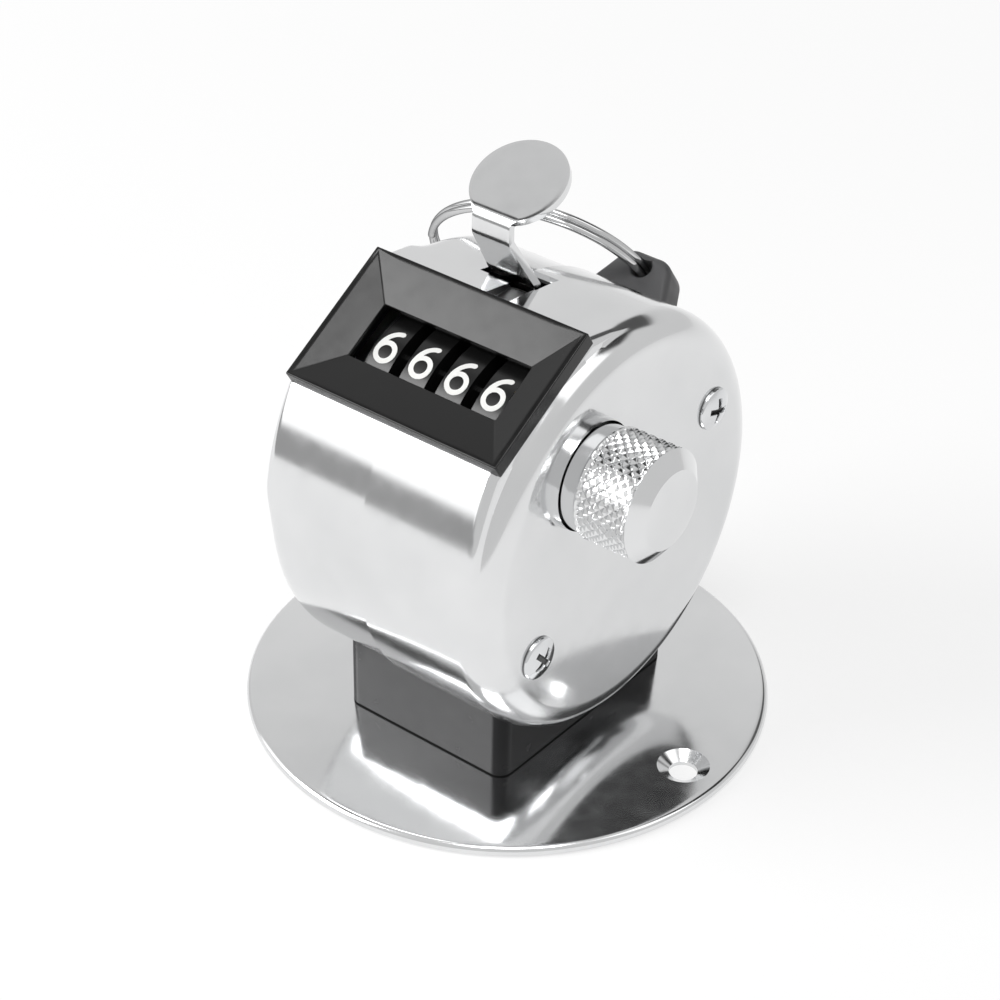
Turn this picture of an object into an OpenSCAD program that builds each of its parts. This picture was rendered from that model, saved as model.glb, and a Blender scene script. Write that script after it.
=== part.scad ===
// Desk tally counter: a chrome drum on a round base, read through a black bezel,
// stepped by a thumb lever and set back to zero by a knurled side knob.

/* [Drum] */
// outer radius of the right half shell
drum_r = 22.5; // [21:0.25:24]
// overall width of the drum along X
drum_w = 29.4; // [29:0.2:31]
// rounding between the rim and the flat side of each shell
drum_fillet = 3.5; // [2.5:0.25:4]
// sheet thickness of both shells
shell_t = 0.6; // [0.5:0.05:0.7]
// how much smaller the left shell is than the right one
shell_step = 0.35; // [0.3:0.05:0.4]
// place of the seam along X
seam_x = -1; // [-1.5:0.25:-0.5]
// length of the left shell's neck inside the right shell
lap_len = 2.5; // [2:0.25:3]

/* [Base] */
// radius of the round base plate
plate_r = 28; // [26.5:0.5:31]
// thickness of the base plate
plate_t = 1.2; // [1:0.1:1.6]
// gap between the plate and the lowest point of the drum
drum_lift = 3.15; // [2.5:0.25:4]
// distance of each mounting hole from the middle
mount_x = 23.3; // [22.5:0.1:23.7]
// radius of a mounting hole
mount_r = 1.5; // [1.3:0.1:1.7]
// radius of the countersink of a mounting hole
mount_sink_r = 2.75; // [2.4:0.05:2.8]
// width of the plinth along X
plinth_w = 21; // [19:0.5:22]
// depth of the plinth along Y
plinth_d = 28; // [25:0.5:30]
// corner radius of the plinth
plinth_corner = 1.5; // [1:0.25:2]

/* [Bezel] */
// backward tilt of the bezel face from level
bezel_tilt = 31; // [28:1:34]
// width of the bezel along X
bezel_w = 26.2; // [25.8:0.1:26.4]
// length of the bezel along its slope
bezel_d = 16; // [15.6:0.1:16]
// thickness of the bezel over its seat
bezel_t = 1.7; // [1.6:0.1:2]
// width of the number window
window_w = 18.3; // [18.1:0.1:18.7]
// length of the number window along the slope
window_d = 6.3; // [6:0.1:6.6]

/* [Counting train] */
// radius of a number wheel
wheel_r = 10.2; // [9.8:0.05:10.25]
// width of a number rim
rim_w = 3.1; // [2.9:0.05:3.15]
// distance from one number wheel to the next
wheel_pitch = 4.5; // [4.45:0.05:4.55]
// radius of the reset shaft
shaft_r = 1.5; // [1.3:0.1:1.6]
// running clearance of everything that turns on a shaft
run_gap = 0.05; // [0.04:0.01:0.08]
// module of the transfer teeth
tooth_m = 0.8; // [0.76:0.01:0.82]

/* [Reset knob] */
// radius of the knurled barrel
knob_r = 5.9; // [5.5:0.05:6.2]
// length of the whole knob
knob_len = 9.2; // [8.8:0.2:11]
// gap between the knob and the drum side
knob_gap = 0.35; // [0.3:0.05:0.6]

/* [Thumb lever] */
// width of the stem at the slot
stem_w = 6.3; // [5.6:0.1:6.6]
// width of the stem at the bend
stem_top_w = 5; // [4.6:0.1:5.4]
// forward lean of the stem
stem_lean = 28; // [26:1:30]
// length of the stem outside the drum
stem_len = 6.8; // [6.4:0.1:7.4]
// sheet thickness of the lever
lever_t = 0.8; // [0.7:0.05:0.9]
// radius of the thumb disc
disc_r = 5.15; // [4.8:0.05:5.6]
// rise of the thumb disc towards the back
disc_rise = 27; // [24:1:30]
// stroke of the lever in degrees
lever_stroke = 10; // [8:1:11]

/* [Ring and lug] */
// angle of the lug behind the top of the drum
lug_angle = 55.5; // [53:0.5:58]
// width of the lug at the drum
lug_w = 10; // [9.5:0.25:11]
// thickness of the lug
lug_t = 4.4; // [3.6:0.1:4.6]
// height of the lug above the drum
lug_h = 5.1; // [5:0.1:5.5]
// radius of the middle of the split ring wire
ring_r = 12.25; // [11.5:0.25:13]
// radius of the ring wire
wire_r = 0.42; // [0.36:0.02:0.46]
// droop of the ring below level
ring_droop = 15; // [10:1:15]

/* [Hidden] */
// number of sides of round features
$fn = 96;
// small overlap that makes cuts and unions clean
lap = 0.02;
// clearance between pieces that are fitted and do not move
fit_gap = 0.02;
// clearance of a screw or a bush in the sheet that it passes through
hole_gap = 0.1;
// reach of a cut past the sheet that it goes through
cut_reach = 4;

// Heights and side planes of the drum
drum_z = plate_t + drum_lift + drum_r;
side_x = drum_w / 2;
inner_x = side_x - shell_t;
left_r = drum_r - shell_step;
right_in_r = drum_r - shell_t;
neck_r = right_in_r - run_gap;
neck_in_r = neck_r - shell_t;

// Bezel seat, measured along the tilted normal from the drum axis
seat_drop = 0.3;
seat_n = drum_r - seat_drop;
seat_more = 0.05;
seat_half = bezel_d / 2 + seat_more;
boss_in = 0.25;
boss_half_w = bezel_w / 2 - boss_in;
window_rise = 0.38;
window_n = seat_n + window_rise;
opening_side = 1.05;
opening_w = window_w + 2 * opening_side;
opening_front = -7;
opening_rear = 4.6;
skirt_t = 0.7;
skirt_deep = 1.3;
window_lip = 0.68;
bezel_rim = 0.6;

// Number wheel axis, in bezel directions and in drum directions
axis_s = -0.1;
wheel_sink = 0.9;
axis_n = seat_n - wheel_sink - wheel_r;
axis_y = axis_s * cos(bezel_tilt) - axis_n * sin(bezel_tilt);
axis_z = axis_s * sin(bezel_tilt) + axis_n * cos(bezel_tilt);
wheels_x = 0;
wheel_count = 4;
rim_gap = wheel_pitch - rim_w;

// Transfer gearing
gear_teeth = 20;
pinion_teeth = 8;
gear_pitch_r = tooth_m * gear_teeth / 2;
pinion_pitch_r = tooth_m * pinion_teeth / 2;
pinion_dist = gear_pitch_r + pinion_pitch_r;
pinion_dir = -60;
pinion_y = axis_y + pinion_dist * cos(pinion_dir);
pinion_z = axis_z + pinion_dist * sin(pinion_dir);
pinion_rod_r = 0.8;
gear_w = 0.55;
carry_w = 0.5;
pinion_side_gap = 0.15;
pinion_w = rim_gap - 2 * pinion_side_gap;
tooth_top = 0.8 * tooth_m;
tooth_foot = 1.1 * tooth_m;
tooth_root_lap = 0.3;
gear_root_w = 1.5 * tooth_m;
gear_tip_w = 0.6 * tooth_m;
pinion_root_w = 1.2 * tooth_m;
pinion_tip_w = 0.5 * tooth_m;
carry_r = gear_pitch_r - 1.5 * tooth_m;

// Reset catch spring in the left side of each wheel
spring_r = 3.8;
spring_w = 0.7;
spring_t = 0.5;
spring_in = 0.2;
spring_mouth = 2.4;

// Frame
frame_t = 1;
frame_x = 11.5;
frame_gap = 1.25;
frame_r = neck_in_r - frame_gap;
post_in = 4;
post_dist = frame_r - post_in;
post_angle = 61.5;
post_y = post_dist * sin(post_angle);
post_z = post_dist * cos(post_angle);
post_r = 2;
screw_r = 1.25;
bush_r = 2.5;
bush_out = 0.5;
cover_screw_len = 5;
post_thread = 6;
pan_r = 2.3;
pan_ball_r = 5;
pan_ball_in = 4.1;
pan_top = 2;
cross_size = [1.4, 0.6, 2.6];
cross_rise = 0.9;
cross_turn = 20;

// Reset shaft, with its clip at the left end and the catch groove under the wheels
shaft_end = 1;
clip_w = 1.2;
clip_t = 0.5;
clip_at = 0.75;
catch_size = [20, 0.6, 0.4];

// Knob details
knob_neck = 1.3;
knob_neck_cut = 0.35;
knob_neck_r = knob_r - knob_neck_cut;
knob_neck_in = 0.3;
knob_hole_gap = 0.45;
knob_chamfer = 1.6;
knob_end_in = 1.5;
knob_end_r = knob_r - knob_end_in;
knob_bore = 6;

// Lever slot and stem foot, in drum directions
lever_y = 1.1;
lever_sink = 0.1;
lever_z = drum_r - lever_sink;
arm_t = 0.8;
arm_x = 9.7;
arm_hub_r = 2.6;
arm_half = 2;
yoke_top = -2.2;
yoke_low = -5.2;
bend_y = lever_y - stem_len * sin(stem_lean);
bend_z = lever_z + stem_len * cos(stem_lean);
lever_neck = 2.1;
disc_in = 0.55;
disc_reach = disc_r - disc_in;
yoke_y = lever_y - yoke_low * sin(stem_lean);
yoke_z = lever_z + yoke_low * cos(stem_lean);
yoke_top_y = lever_y - yoke_top * sin(stem_lean);
yoke_top_z = lever_z + yoke_top * cos(stem_lean);

// Slot in the drum, long enough for the pressed stem, and the groove in front of it in the right shell
slot_side_gap = 0.25;
slot_end_gap = 0.38;
slot_w = stem_w + 2 * slot_side_gap;
slot_front = 0.55;
pressed_lean = stem_lean - lever_stroke;
pressed_y = axis_y + (lever_y - axis_y) * cos(lever_stroke) + (lever_z - axis_z) * sin(lever_stroke);
pressed_z = axis_z - (lever_y - axis_y) * sin(lever_stroke) + (lever_z - axis_z) * cos(lever_stroke);
pressed_back = lever_t / 2 / cos(pressed_lean) - (right_in_r - pressed_z) * tan(pressed_lean);
slot_rear = pressed_y + pressed_back + slot_end_gap - lever_y;
neck_slot_more = 0.8;
groove_step = 0.5;
groove_w = slot_w / 2 - groove_step;
groove_front = -4.65;
groove_lip = 0.3;
groove_z = neck_r + lap / 2;

// Ratchet and pawl
ratchet_boss = 0.1;
ratchet_x = wheels_x + (wheel_count - 1) / 2 * wheel_pitch + rim_w / 2 + ratchet_boss;
ratchet_w = 0.9;
ratchet_r = 6.5;
ratchet_deep = 1;
ratchet_root_w = 1.6;
ratchet_tip_w = 0.4;
ratchet_teeth = 10;
pawl_lift = 0.2;
pawl_tip_r = ratchet_r + pawl_lift;
pawl_pin_r = 0.6;
pawl_pin_dist = 9.2;
pawl_pin_dir = 45;
pawl_tip_dir = 20;
pawl_hub_r = 1.3;
pawl_half = 0.9;
pawl_tip_w = 0.8;
pawl_side_gap = 0.1;
pawl_y = axis_y + pawl_pin_dist * cos(pawl_pin_dir);
pawl_z = axis_z + pawl_pin_dist * sin(pawl_pin_dir);

// Leaf springs
leaf_t = 0.3;
detent_dir = -140;
detent_tip = 3;
detent_len = 7;
detent_foot = [1.2, 1.6];
return_w = 4;
return_foot = 3;
return_gap = 0.2;
return_tip = [0.5, 0.1];

// Ring lug
lug_x = 0.8;
lug_hole_r = 1.25;
lug_hole_in = 1.8;
lug_hole_at = drum_r + lug_h - lug_hole_in;
lug_corner = 2.2;
lug_corner_x = 1.3;
lug_foot_gap = 1.1;
lug_foot_t = 1;
lug_foot_lip = 1;
lug_foot_r = neck_in_r - lug_foot_gap;
coil_step = 0.4;

// Base screws and countersinks
sink_deep = 0.75;
base_screw_y = 9;
screw_room = 0.4;
screw_end = 0.6;
nut_size = [6, 23, 2.2];
nut_gap = 0.22;
nut_z = -sqrt(pow(neck_in_r - nut_gap, 2) - pow(nut_size[1] / 2, 2));

// Puts a flat outline, drawn in Y and Z around the drum axis, between two X planes
module slab_x(x0, x1) {
    translate([x0, 0, drum_z]) rotate([90, 0, 90]) linear_extrude(x1 - x0) children();
}

// A round bar along X at a place measured from the drum axis
module bar_x(r, x0, x1, y = 0, z = 0) {
    translate([x0, y, drum_z + z]) rotate([0, 90, 0]) cylinder(r = r, h = x1 - x0);
}

// A profile of radius and X, turned about an axis along X
module turned_x(y = 0, z = 0) {
    translate([0, y, drum_z + z]) rotate([0, 90, 0]) rotate_extrude() children();
}

// Bezel directions: X, along the slope, and away from the drum
module on_bezel() {
    translate([0, 0, drum_z]) rotate([bezel_tilt, 0, 0]) children();
}

// A box given by its two opposite corners
module box(low, high) {
    translate(low) cube(high - low);
}

// Half profile of a shell: radius across, distance from the seam plane along X
module shell_half(r, width, fillet) {
    square([r - fillet, width]);
    square([r, width - fillet]);
    translate([r - fillet, width - fillet]) circle(fillet);
}

// Outline of the flat pad that carries the bezel, tangent to the round drum
module pad_outline(r, n, half) {
    reach = sqrt(n * n + half * half);
    spread = atan(half / n) + acos(r / reach);
    rotate(bezel_tilt) polygon([
        [0, 0],
        [-r * sin(spread), r * cos(spread)],
        [-half, n],
        [half, n],
        [r * sin(spread), r * cos(spread)]
    ]);
}

// Cuts that both shells share
module shell_cuts() {
    on_bezel() {
        box([-opening_w / 2, opening_front, seat_n - cut_reach], [opening_w / 2, opening_rear, seat_n + cut_reach]);
        box([-bezel_w / 2 - fit_gap, -seat_half, seat_n], [bezel_w / 2 + fit_gap, seat_half, seat_n + cut_reach]);
    }
    box([seam_x - slot_w / 2, lever_y - slot_front, drum_z + drum_r - cut_reach],
        [seam_x + slot_w / 2, lever_y + slot_rear, drum_z + drum_r + cut_reach]);
    at_lug()
        box([-lug_w / 2 - fit_gap, -lug_t / 2 - fit_gap, drum_r - cut_reach],
            [lug_w / 2 + fit_gap, lug_t / 2 + fit_gap, drum_r + cut_reach]);
    for (side = [-1, 1])
        translate([0, side * base_screw_y, plate_t]) cylinder(r = screw_r + screw_room, h = drum_r / 2);
}

// Floor of the pressed groove, a tongue of the left shell
module groove_floor() {
    box([seam_x - slot_w / 2 - groove_lip, groove_front - groove_lip, drum_z + neck_in_r],
        [seam_x + slot_w / 2, lever_y - slot_front - run_gap, drum_z + neck_r]);
}

// Left half shell, with a stepped-in neck that the right shell slides over
module left_shell() color("silver") difference() {
    union() {
        difference() {
            union() {
                left_solid(0);
                bar_x(neck_r, seam_x - lap, seam_x + lap_len);
                slab_x(-boss_half_w, seam_x) pad_outline(left_r, seat_n, seat_half);
            }
            left_hollow();
        }
        groove_floor();
    }
    shell_cuts();
    box([seam_x - slot_w / 2, lever_y, drum_z + drum_r - cut_reach],
        [seam_x + slot_w / 2, lever_y + slot_rear + neck_slot_more, drum_z + neck_r + lap]);
    for (side = [-1, 1])
        bar_x(screw_r, -side_x - lap, -inner_x + lap, side * post_y, side * post_z);
}

// Hollow of the left shell; a short ring behind the seam joins shell and neck
module left_hollow() {
    intersection() {
        left_solid(shell_t);
        bar_x(drum_r, -side_x, seam_x - shell_t);
    }
    bar_x(neck_in_r, -side_x / 2, seam_x + lap_len + lap);
    slab_x(-boss_half_w + shell_t, seam_x - shell_t)
        pad_outline(left_r - shell_t, seat_n - shell_t, seat_half - shell_t);
}

// Solid of the left shell, shrunk by an inset
module left_solid(inset) {
    mirror([1, 0, 0]) translate([-seam_x, 0, 0]) turned_x()
        shell_half(left_r - inset, side_x + seam_x - inset, drum_fillet - inset);
}

// Solid of the right shell, shrunk by an inset
module right_solid(inset) {
    translate([seam_x, 0, 0]) turned_x()
        shell_half(drum_r - inset, side_x - seam_x - inset, drum_fillet - inset);
}

// Right half shell, the removable cover on the knob side
module right_shell() color("silver") difference() {
    union() {
        right_solid(0);
        slab_x(seam_x, boss_half_w) pad_outline(drum_r, seat_n, seat_half);
    }
    right_solid(shell_t);
    slab_x(seam_x - lap, boss_half_w - shell_t)
        pad_outline(drum_r - shell_t, seat_n - shell_t, seat_half - shell_t);
    shell_cuts();
    box([seam_x - lap, groove_front, drum_z + groove_z],
        [seam_x + groove_w, lever_y, drum_z + drum_r + cut_reach]);
    bar_x(knob_neck_r + knob_hole_gap, inner_x - lap, side_x + lap, axis_y, axis_z);
    for (side = [-1, 1])
        bar_x(screw_r + hole_gap, inner_x - lap, side_x + lap, side * post_y, side * post_z);
}

// Round base plate with a rounded edge and two countersunk holes
module base_plate() color("gainsboro") difference() {
    union() {
        cylinder(r = plate_r - plate_t / 2, h = plate_t);
        translate([0, 0, plate_t / 2]) rotate_extrude()
            translate([plate_r - plate_t / 2, 0]) circle(plate_t / 2);
    }
    for (side = [-1, 1]) {
        translate([side * mount_x, 0, -lap]) cylinder(r = mount_r, h = plate_t + 2 * lap);
        translate([side * mount_x, 0, plate_t - sink_deep])
            cylinder(r1 = mount_r, r2 = mount_sink_r, h = sink_deep);
        translate([0, side * base_screw_y, -lap])
            cylinder(r1 = 2 * screw_r + hole_gap, r2 = screw_r + hole_gap, h = plate_t + 2 * lap);
    }
}

// Black moulded plinth whose saddle carries the drum
module plinth() color("dimgray") difference() {
    translate([0, 0, plate_t]) rounded_block(plinth_w, plinth_d, drum_lift + drum_r / 2, plinth_corner);
    bar_x(left_r + fit_gap, -plinth_w, seam_x);
    bar_x(drum_r + fit_gap, seam_x - lap, plinth_w);
    for (side = [-1, 1])
        translate([0, side * base_screw_y, 0]) cylinder(r = screw_r + screw_room, h = drum_z);
}

// Upright block with four rounded corners, centred on the Z axis
module rounded_block(w, d, h, r) {
    translate([-w / 2 + r, -d / 2, 0]) cube([w - 2 * r, d, h]);
    translate([-w / 2, -d / 2 + r, 0]) cube([w, d - 2 * r, h]);
    for (sx = [-1, 1], sy = [-1, 1])
        translate([sx * (w / 2 - r), sy * (d / 2 - r), 0]) cylinder(r = r, h = h);
}

// Two long countersunk screws that hold plate, plinth and drum together
module base_screws() color("gray") for (side = [-1, 1])
    translate([0, side * base_screw_y, 0]) {
        cylinder(r1 = 2 * screw_r, r2 = screw_r, h = plate_t);
        cylinder(r = screw_r, h = drum_z + nut_z + nut_size[2] + screw_end);
    }

// Steel bar inside the drum that the base screws thread into
module nut_bar() color("gray") difference() {
    translate([-nut_size[0] / 2, -nut_size[1] / 2, drum_z + nut_z]) cube(nut_size);
    for (side = [-1, 1])
        translate([0, side * base_screw_y, drum_z + nut_z - lap]) cylinder(r = screw_r, h = nut_size[2] + 2 * lap);
}

// Two pan head screws that hold the right shell to the tie posts
module cover_screws() color("lightgray") for (side = [-1, 1])
    translate([0, side * post_y, side * post_z]) difference() {
        union() {
            bar_x(screw_r, inner_x - cover_screw_len, side_x + lap);
            turned_x() intersection() {
                translate([0, side_x - pan_ball_in]) circle(pan_ball_r);
                translate([0, side_x]) square([pan_r, pan_top]);
            }
        }
        for (turn = [0, 90])
            translate([side_x + cross_rise, 0, drum_z]) rotate([turn + cross_turn, 0, 0])
                cube(cross_size, center = true);
    }

// Black bezel with four facets that fall to the number window
module bezel() color("black") on_bezel() difference() {
    union() {
        box([-bezel_w / 2, -bezel_d / 2, seat_n], [bezel_w / 2, bezel_d / 2, seat_n + bezel_t]);
        box([-opening_w / 2 + hole_gap, opening_front + hole_gap, seat_n - skirt_deep],
            [opening_w / 2 - hole_gap, opening_rear - hole_gap, seat_n + lap]);
    }
    hull() {
        box([-window_w / 2, -window_d / 2, window_n], [window_w / 2, window_d / 2, window_n + lap]);
        box([-bezel_w / 2 + bezel_rim, -bezel_d / 2 + bezel_rim, seat_n + bezel_t],
            [bezel_w / 2 - bezel_rim, bezel_d / 2 - bezel_rim, seat_n + bezel_t + lap]);
    }
    box([-window_w / 2, -window_d / 2, seat_n - cut_reach], [window_w / 2, window_d / 2, window_n + lap]);
    box([-opening_w / 2 + skirt_t, opening_front + skirt_t, seat_n - cut_reach],
        [opening_w / 2 - skirt_t, opening_rear - skirt_t, window_n - window_lip]);
}

// Side plate of the frame, with holes for posts and shafts
module frame_plate(x, bore) color("darkkhaki") difference() {
    bar_x(frame_r, x, x + frame_t);
    bar_x(bore, x - lap, x + frame_t + lap, axis_y, axis_z);
    bar_x(pinion_rod_r, x - lap, x + frame_t + lap, pinion_y, pinion_z);
    for (side = [-1, 1])
        bar_x(post_r, x - lap, x + frame_t + lap, side * post_y, side * post_z);
}

// Left frame plate
module left_frame() frame_plate(-frame_x - frame_t, bush_r);

// Right frame plate
module right_frame() frame_plate(frame_x, bush_r);

// Two posts across the drum that tie the frame plates and take the cover screws
module tie_posts() color("darkkhaki") for (side = [-1, 1]) difference() {
    union() {
        bar_x(post_r, -inner_x, inner_x, side * post_y, side * post_z);
        bar_x(screw_r, -side_x, -inner_x + lap, side * post_y, side * post_z);
    }
    bar_x(screw_r, inner_x - post_thread, inner_x + lap, side * post_y, side * post_z);
}

// Two flanged bearing bushes pressed into the frame plates
module shaft_bushes() color("goldenrod") {
    turned_x(axis_y, axis_z) translate([shaft_r + run_gap, frame_x])
        square([bush_r - shaft_r - run_gap, frame_t + bush_out]);
    turned_x(axis_y, axis_z) translate([shaft_r + run_gap, -frame_x - frame_t])
        square([bush_r - shaft_r - run_gap, frame_t]);
}

// Reset shaft with the long groove that catches the wheel springs
module reset_shaft() color("lightgray") difference() {
    bar_x(shaft_r, -frame_x - frame_t - shaft_end, side_x + knob_gap + knob_bore, axis_y, axis_z);
    translate([-catch_size[0] / 2, axis_y - catch_size[1] / 2, drum_z + axis_z + shaft_r - catch_size[2]])
        cube(catch_size + [0, 0, lap]);
}

// Clip in front of the left end of the reset shaft
module shaft_clip() color("gray") turned_x(axis_y, axis_z)
    translate([shaft_r, -frame_x - frame_t - clip_at]) square([clip_w, clip_t]);

// Turned reset knob with smooth neck, knurled barrel and chamfered end
module reset_knob() color("silver") translate([side_x + knob_gap, 0, 0]) difference() {
    turned_x(axis_y, axis_z) polygon([
        [0, -knob_gap - knob_neck_in],
        [knob_neck_r, -knob_gap - knob_neck_in],
        [knob_neck_r, knob_neck],
        [knob_r, knob_neck + knob_neck_cut],
        [knob_r, knob_len - knob_chamfer],
        [knob_end_r, knob_len],
        [0, knob_len]
    ]);
    bar_x(shaft_r, -knob_gap - knob_neck_in - lap, knob_bore, axis_y, axis_z);
}

// Middle of a number wheel along X, counted from the left
function wheel_x(i) = wheels_x + (i - (wheel_count - 1) / 2) * wheel_pitch;

// Outline of a toothed wheel about the origin
module toothed(root_r, tip_r, teeth, root_w, tip_w) {
    circle(root_r);
    for (i = [0 : teeth - 1])
        rotate(i * 360 / teeth) polygon([
            [root_r - tooth_root_lap, -root_w / 2],
            [tip_r, -tip_w / 2],
            [tip_r, tip_w / 2],
            [root_r - tooth_root_lap, root_w / 2]
        ]);
}

// One number wheel with its transfer teeth
module number_wheel(i, with_gear, with_carry) color("black") {
    x0 = wheel_x(i) - rim_w / 2;
    difference() {
        union() {
            bar_x(wheel_r, x0, x0 + rim_w, axis_y, axis_z);
            if (with_gear)
                slab_x(x0 + rim_w - lap, x0 + rim_w + gear_w) translate([axis_y, axis_z])
                    rotate(pinion_dir) toothed(gear_pitch_r - tooth_foot, gear_pitch_r + tooth_top,
                                               gear_teeth, gear_root_w, gear_tip_w);
            if (with_carry)
                slab_x(x0 - carry_w, x0 + lap) translate([axis_y, axis_z])
                    circle(carry_r);
        }
        bar_x(shaft_r + run_gap, x0 - cut_reach, x0 + rim_w + cut_reach, axis_y, axis_z);
        bar_x(spring_r, x0 - cut_reach, x0 + spring_in + spring_t, axis_y, axis_z);
    }
}

// Reset catch spring of one wheel, an open flat ring in the wheel's left side
module catch_spring(i) color("khaki") {
    x0 = wheel_x(i) - rim_w / 2 + spring_in;
    slab_x(x0, x0 + spring_t) translate([axis_y, axis_z]) difference() {
        circle(spring_r);
        circle(spring_r - spring_w);
        translate([0, -spring_mouth / 2]) square([2 * spring_r, spring_mouth]);
    }
}

// Thousands wheel at the left end
module thousands_wheel() number_wheel(0, true, false);

// Hundreds wheel
module hundreds_wheel() number_wheel(1, true, true);

// Tens wheel
module tens_wheel() number_wheel(2, true, true);

// Units wheel at the right end, driven by the lever
module units_wheel() number_wheel(3, false, true);

// Catch spring of the thousands wheel
module thousands_catch() catch_spring(0);

// Catch spring of the hundreds wheel
module hundreds_catch() catch_spring(1);

// Catch spring of the tens wheel
module tens_catch() catch_spring(2);

// Catch spring of the units wheel
module units_catch() catch_spring(3);

// Ratchet ring fixed to the units wheel
module units_ratchet() color("goldenrod") difference() {
    slab_x(ratchet_x - ratchet_boss, ratchet_x + ratchet_w) translate([axis_y, axis_z])
        toothed(ratchet_r - ratchet_deep, ratchet_r, ratchet_teeth, ratchet_root_w, ratchet_tip_w);
    bar_x(shaft_r + run_gap, ratchet_x - cut_reach, ratchet_x + cut_reach, axis_y, axis_z);
}

// One transfer pinion between wheel i and the next lower wheel
module transfer_pinion(i) color("goldenrod") {
    x0 = wheel_x(i) + rim_w / 2 + (rim_gap - pinion_w) / 2;
    difference() {
        slab_x(x0, x0 + pinion_w) translate([pinion_y, pinion_z])
            rotate(pinion_dir + 180 + 180 / pinion_teeth)
            toothed(pinion_pitch_r - tooth_foot, pinion_pitch_r + tooth_top,
                    pinion_teeth, pinion_root_w, pinion_tip_w);
        bar_x(pinion_rod_r + run_gap, x0 - cut_reach, x0 + cut_reach, pinion_y, pinion_z);
    }
}

// Pinion that carries from hundreds to thousands
module thousands_pinion() transfer_pinion(0);

// Pinion that carries from tens to hundreds
module hundreds_pinion() transfer_pinion(1);

// Pinion that carries from units to tens
module tens_pinion() transfer_pinion(2);

// Fixed rod that the transfer pinions turn on
module pinion_rod() color("lightgray")
    bar_x(pinion_rod_r, -frame_x - frame_t, frame_x + frame_t, pinion_y, pinion_z);

// Corner of a bent sheet's face, from the unit normals of the two runs that meet there
function mitre(a, b) = lever_t / 2 * (a + b) / (1 + a * b);

// Side view of the bent sheet: yoke and leaning stem, upright neck, rising disc
module lever_profile() {
    low = [yoke_y, yoke_z];
    bend = [bend_y, bend_z];
    crease = [bend_y, bend_z + lever_neck];
    end = crease + (disc_reach + disc_r) * [cos(disc_rise), sin(disc_rise)];
    stem_face = [-cos(stem_lean), -sin(stem_lean)];
    neck_face = [-1, 0];
    disc_face = [-sin(disc_rise), cos(disc_rise)];
    polygon([
        low + mitre(stem_face, stem_face),
        bend + mitre(stem_face, neck_face),
        crease + mitre(neck_face, disc_face),
        end + mitre(disc_face, disc_face),
        end - mitre(disc_face, disc_face),
        crease - mitre(neck_face, disc_face),
        bend - mitre(stem_face, neck_face),
        low - mitre(stem_face, stem_face)
    ]);
}

// Front view of the lever below the disc: a wide yoke, a tapered stem and a straight neck
module lever_front() {
    yoke_half = arm_x + arm_t / 2;
    polygon([
        [-yoke_half - seam_x, yoke_z - lever_t],
        [yoke_half - seam_x, yoke_z - lever_t],
        [yoke_half - seam_x, yoke_top_z],
        [stem_w / 2, yoke_top_z],
        [stem_w / 2, lever_z],
        [stem_top_w / 2, bend_z],
        [stem_top_w / 2, bend_z + lever_neck + lever_t / 2],
        [-stem_top_w / 2, bend_z + lever_neck + lever_t / 2],
        [-stem_top_w / 2, bend_z],
        [-stem_w / 2, lever_z],
        [-stem_w / 2, yoke_top_z],
        [-yoke_half - seam_x, yoke_top_z]
    ]);
}

// Bent sheet thumb lever with its yoke that turns on the reset shaft
module thumb_lever() color("silver") {
    intersection() {
        slab_x(-drum_w, drum_w) lever_profile();
        union() {
            translate([seam_x, drum_r, drum_z]) rotate([90, 0, 0]) linear_extrude(2 * drum_r) lever_front();
            translate([seam_x, bend_y, drum_z + bend_z + lever_neck]) rotate([disc_rise, 0, 0])
                translate([0, disc_reach, -lever_t]) cylinder(r = disc_r, h = 2 * lever_t);
        }
    }
    for (x = [-arm_x - arm_t, arm_x])
        lever_arm(x);
}

// One arm of the yoke, from the reset shaft to the cross bar; the right one holds the pawl pin
module lever_arm(x) difference() {
    union() {
        bar_x(arm_hub_r, x, x + arm_t, axis_y, axis_z);
        slab_x(x, x + arm_t) polygon([
            [axis_y, axis_z] + arm_half * [-sin(pawl_pin_dir), cos(pawl_pin_dir)],
            [axis_y, axis_z] + arm_half * [sin(pawl_pin_dir), -cos(pawl_pin_dir)],
            [yoke_y, yoke_z],
            [yoke_top_y, yoke_top_z]
        ]);
    }
    bar_x(shaft_r + run_gap, x - lap, x + arm_t + lap, axis_y, axis_z);
    if (x > 0)
        bar_x(pawl_pin_r, x - lap, x + arm_t + lap, pawl_y, pawl_z);
}

// Pin on the right arm that the drive pawl turns on
module pawl_pin() color("lightgray")
    bar_x(pawl_pin_r, ratchet_x, arm_x + arm_t, pawl_y, pawl_z);

// Drive pawl that steps the ratchet
module drive_pawl() color("goldenrod") difference() {
    union() {
        bar_x(pawl_hub_r, ratchet_x + pawl_side_gap, ratchet_x + ratchet_w - pawl_side_gap, pawl_y, pawl_z);
        slab_x(ratchet_x + pawl_side_gap, ratchet_x + ratchet_w - pawl_side_gap) polygon([
            [pawl_y + pawl_half, pawl_z - pawl_half],
            [pawl_y - pawl_half, pawl_z - pawl_half],
            [axis_y, axis_z] + pawl_tip_r * [cos(pawl_tip_dir), sin(pawl_tip_dir)],
            [axis_y, axis_z] + (pawl_tip_r + pawl_tip_w) * [cos(pawl_tip_dir), sin(pawl_tip_dir)]
        ]);
    }
    bar_x(pawl_pin_r + run_gap, ratchet_x - cut_reach, ratchet_x + cut_reach, pawl_y, pawl_z);
}

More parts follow.
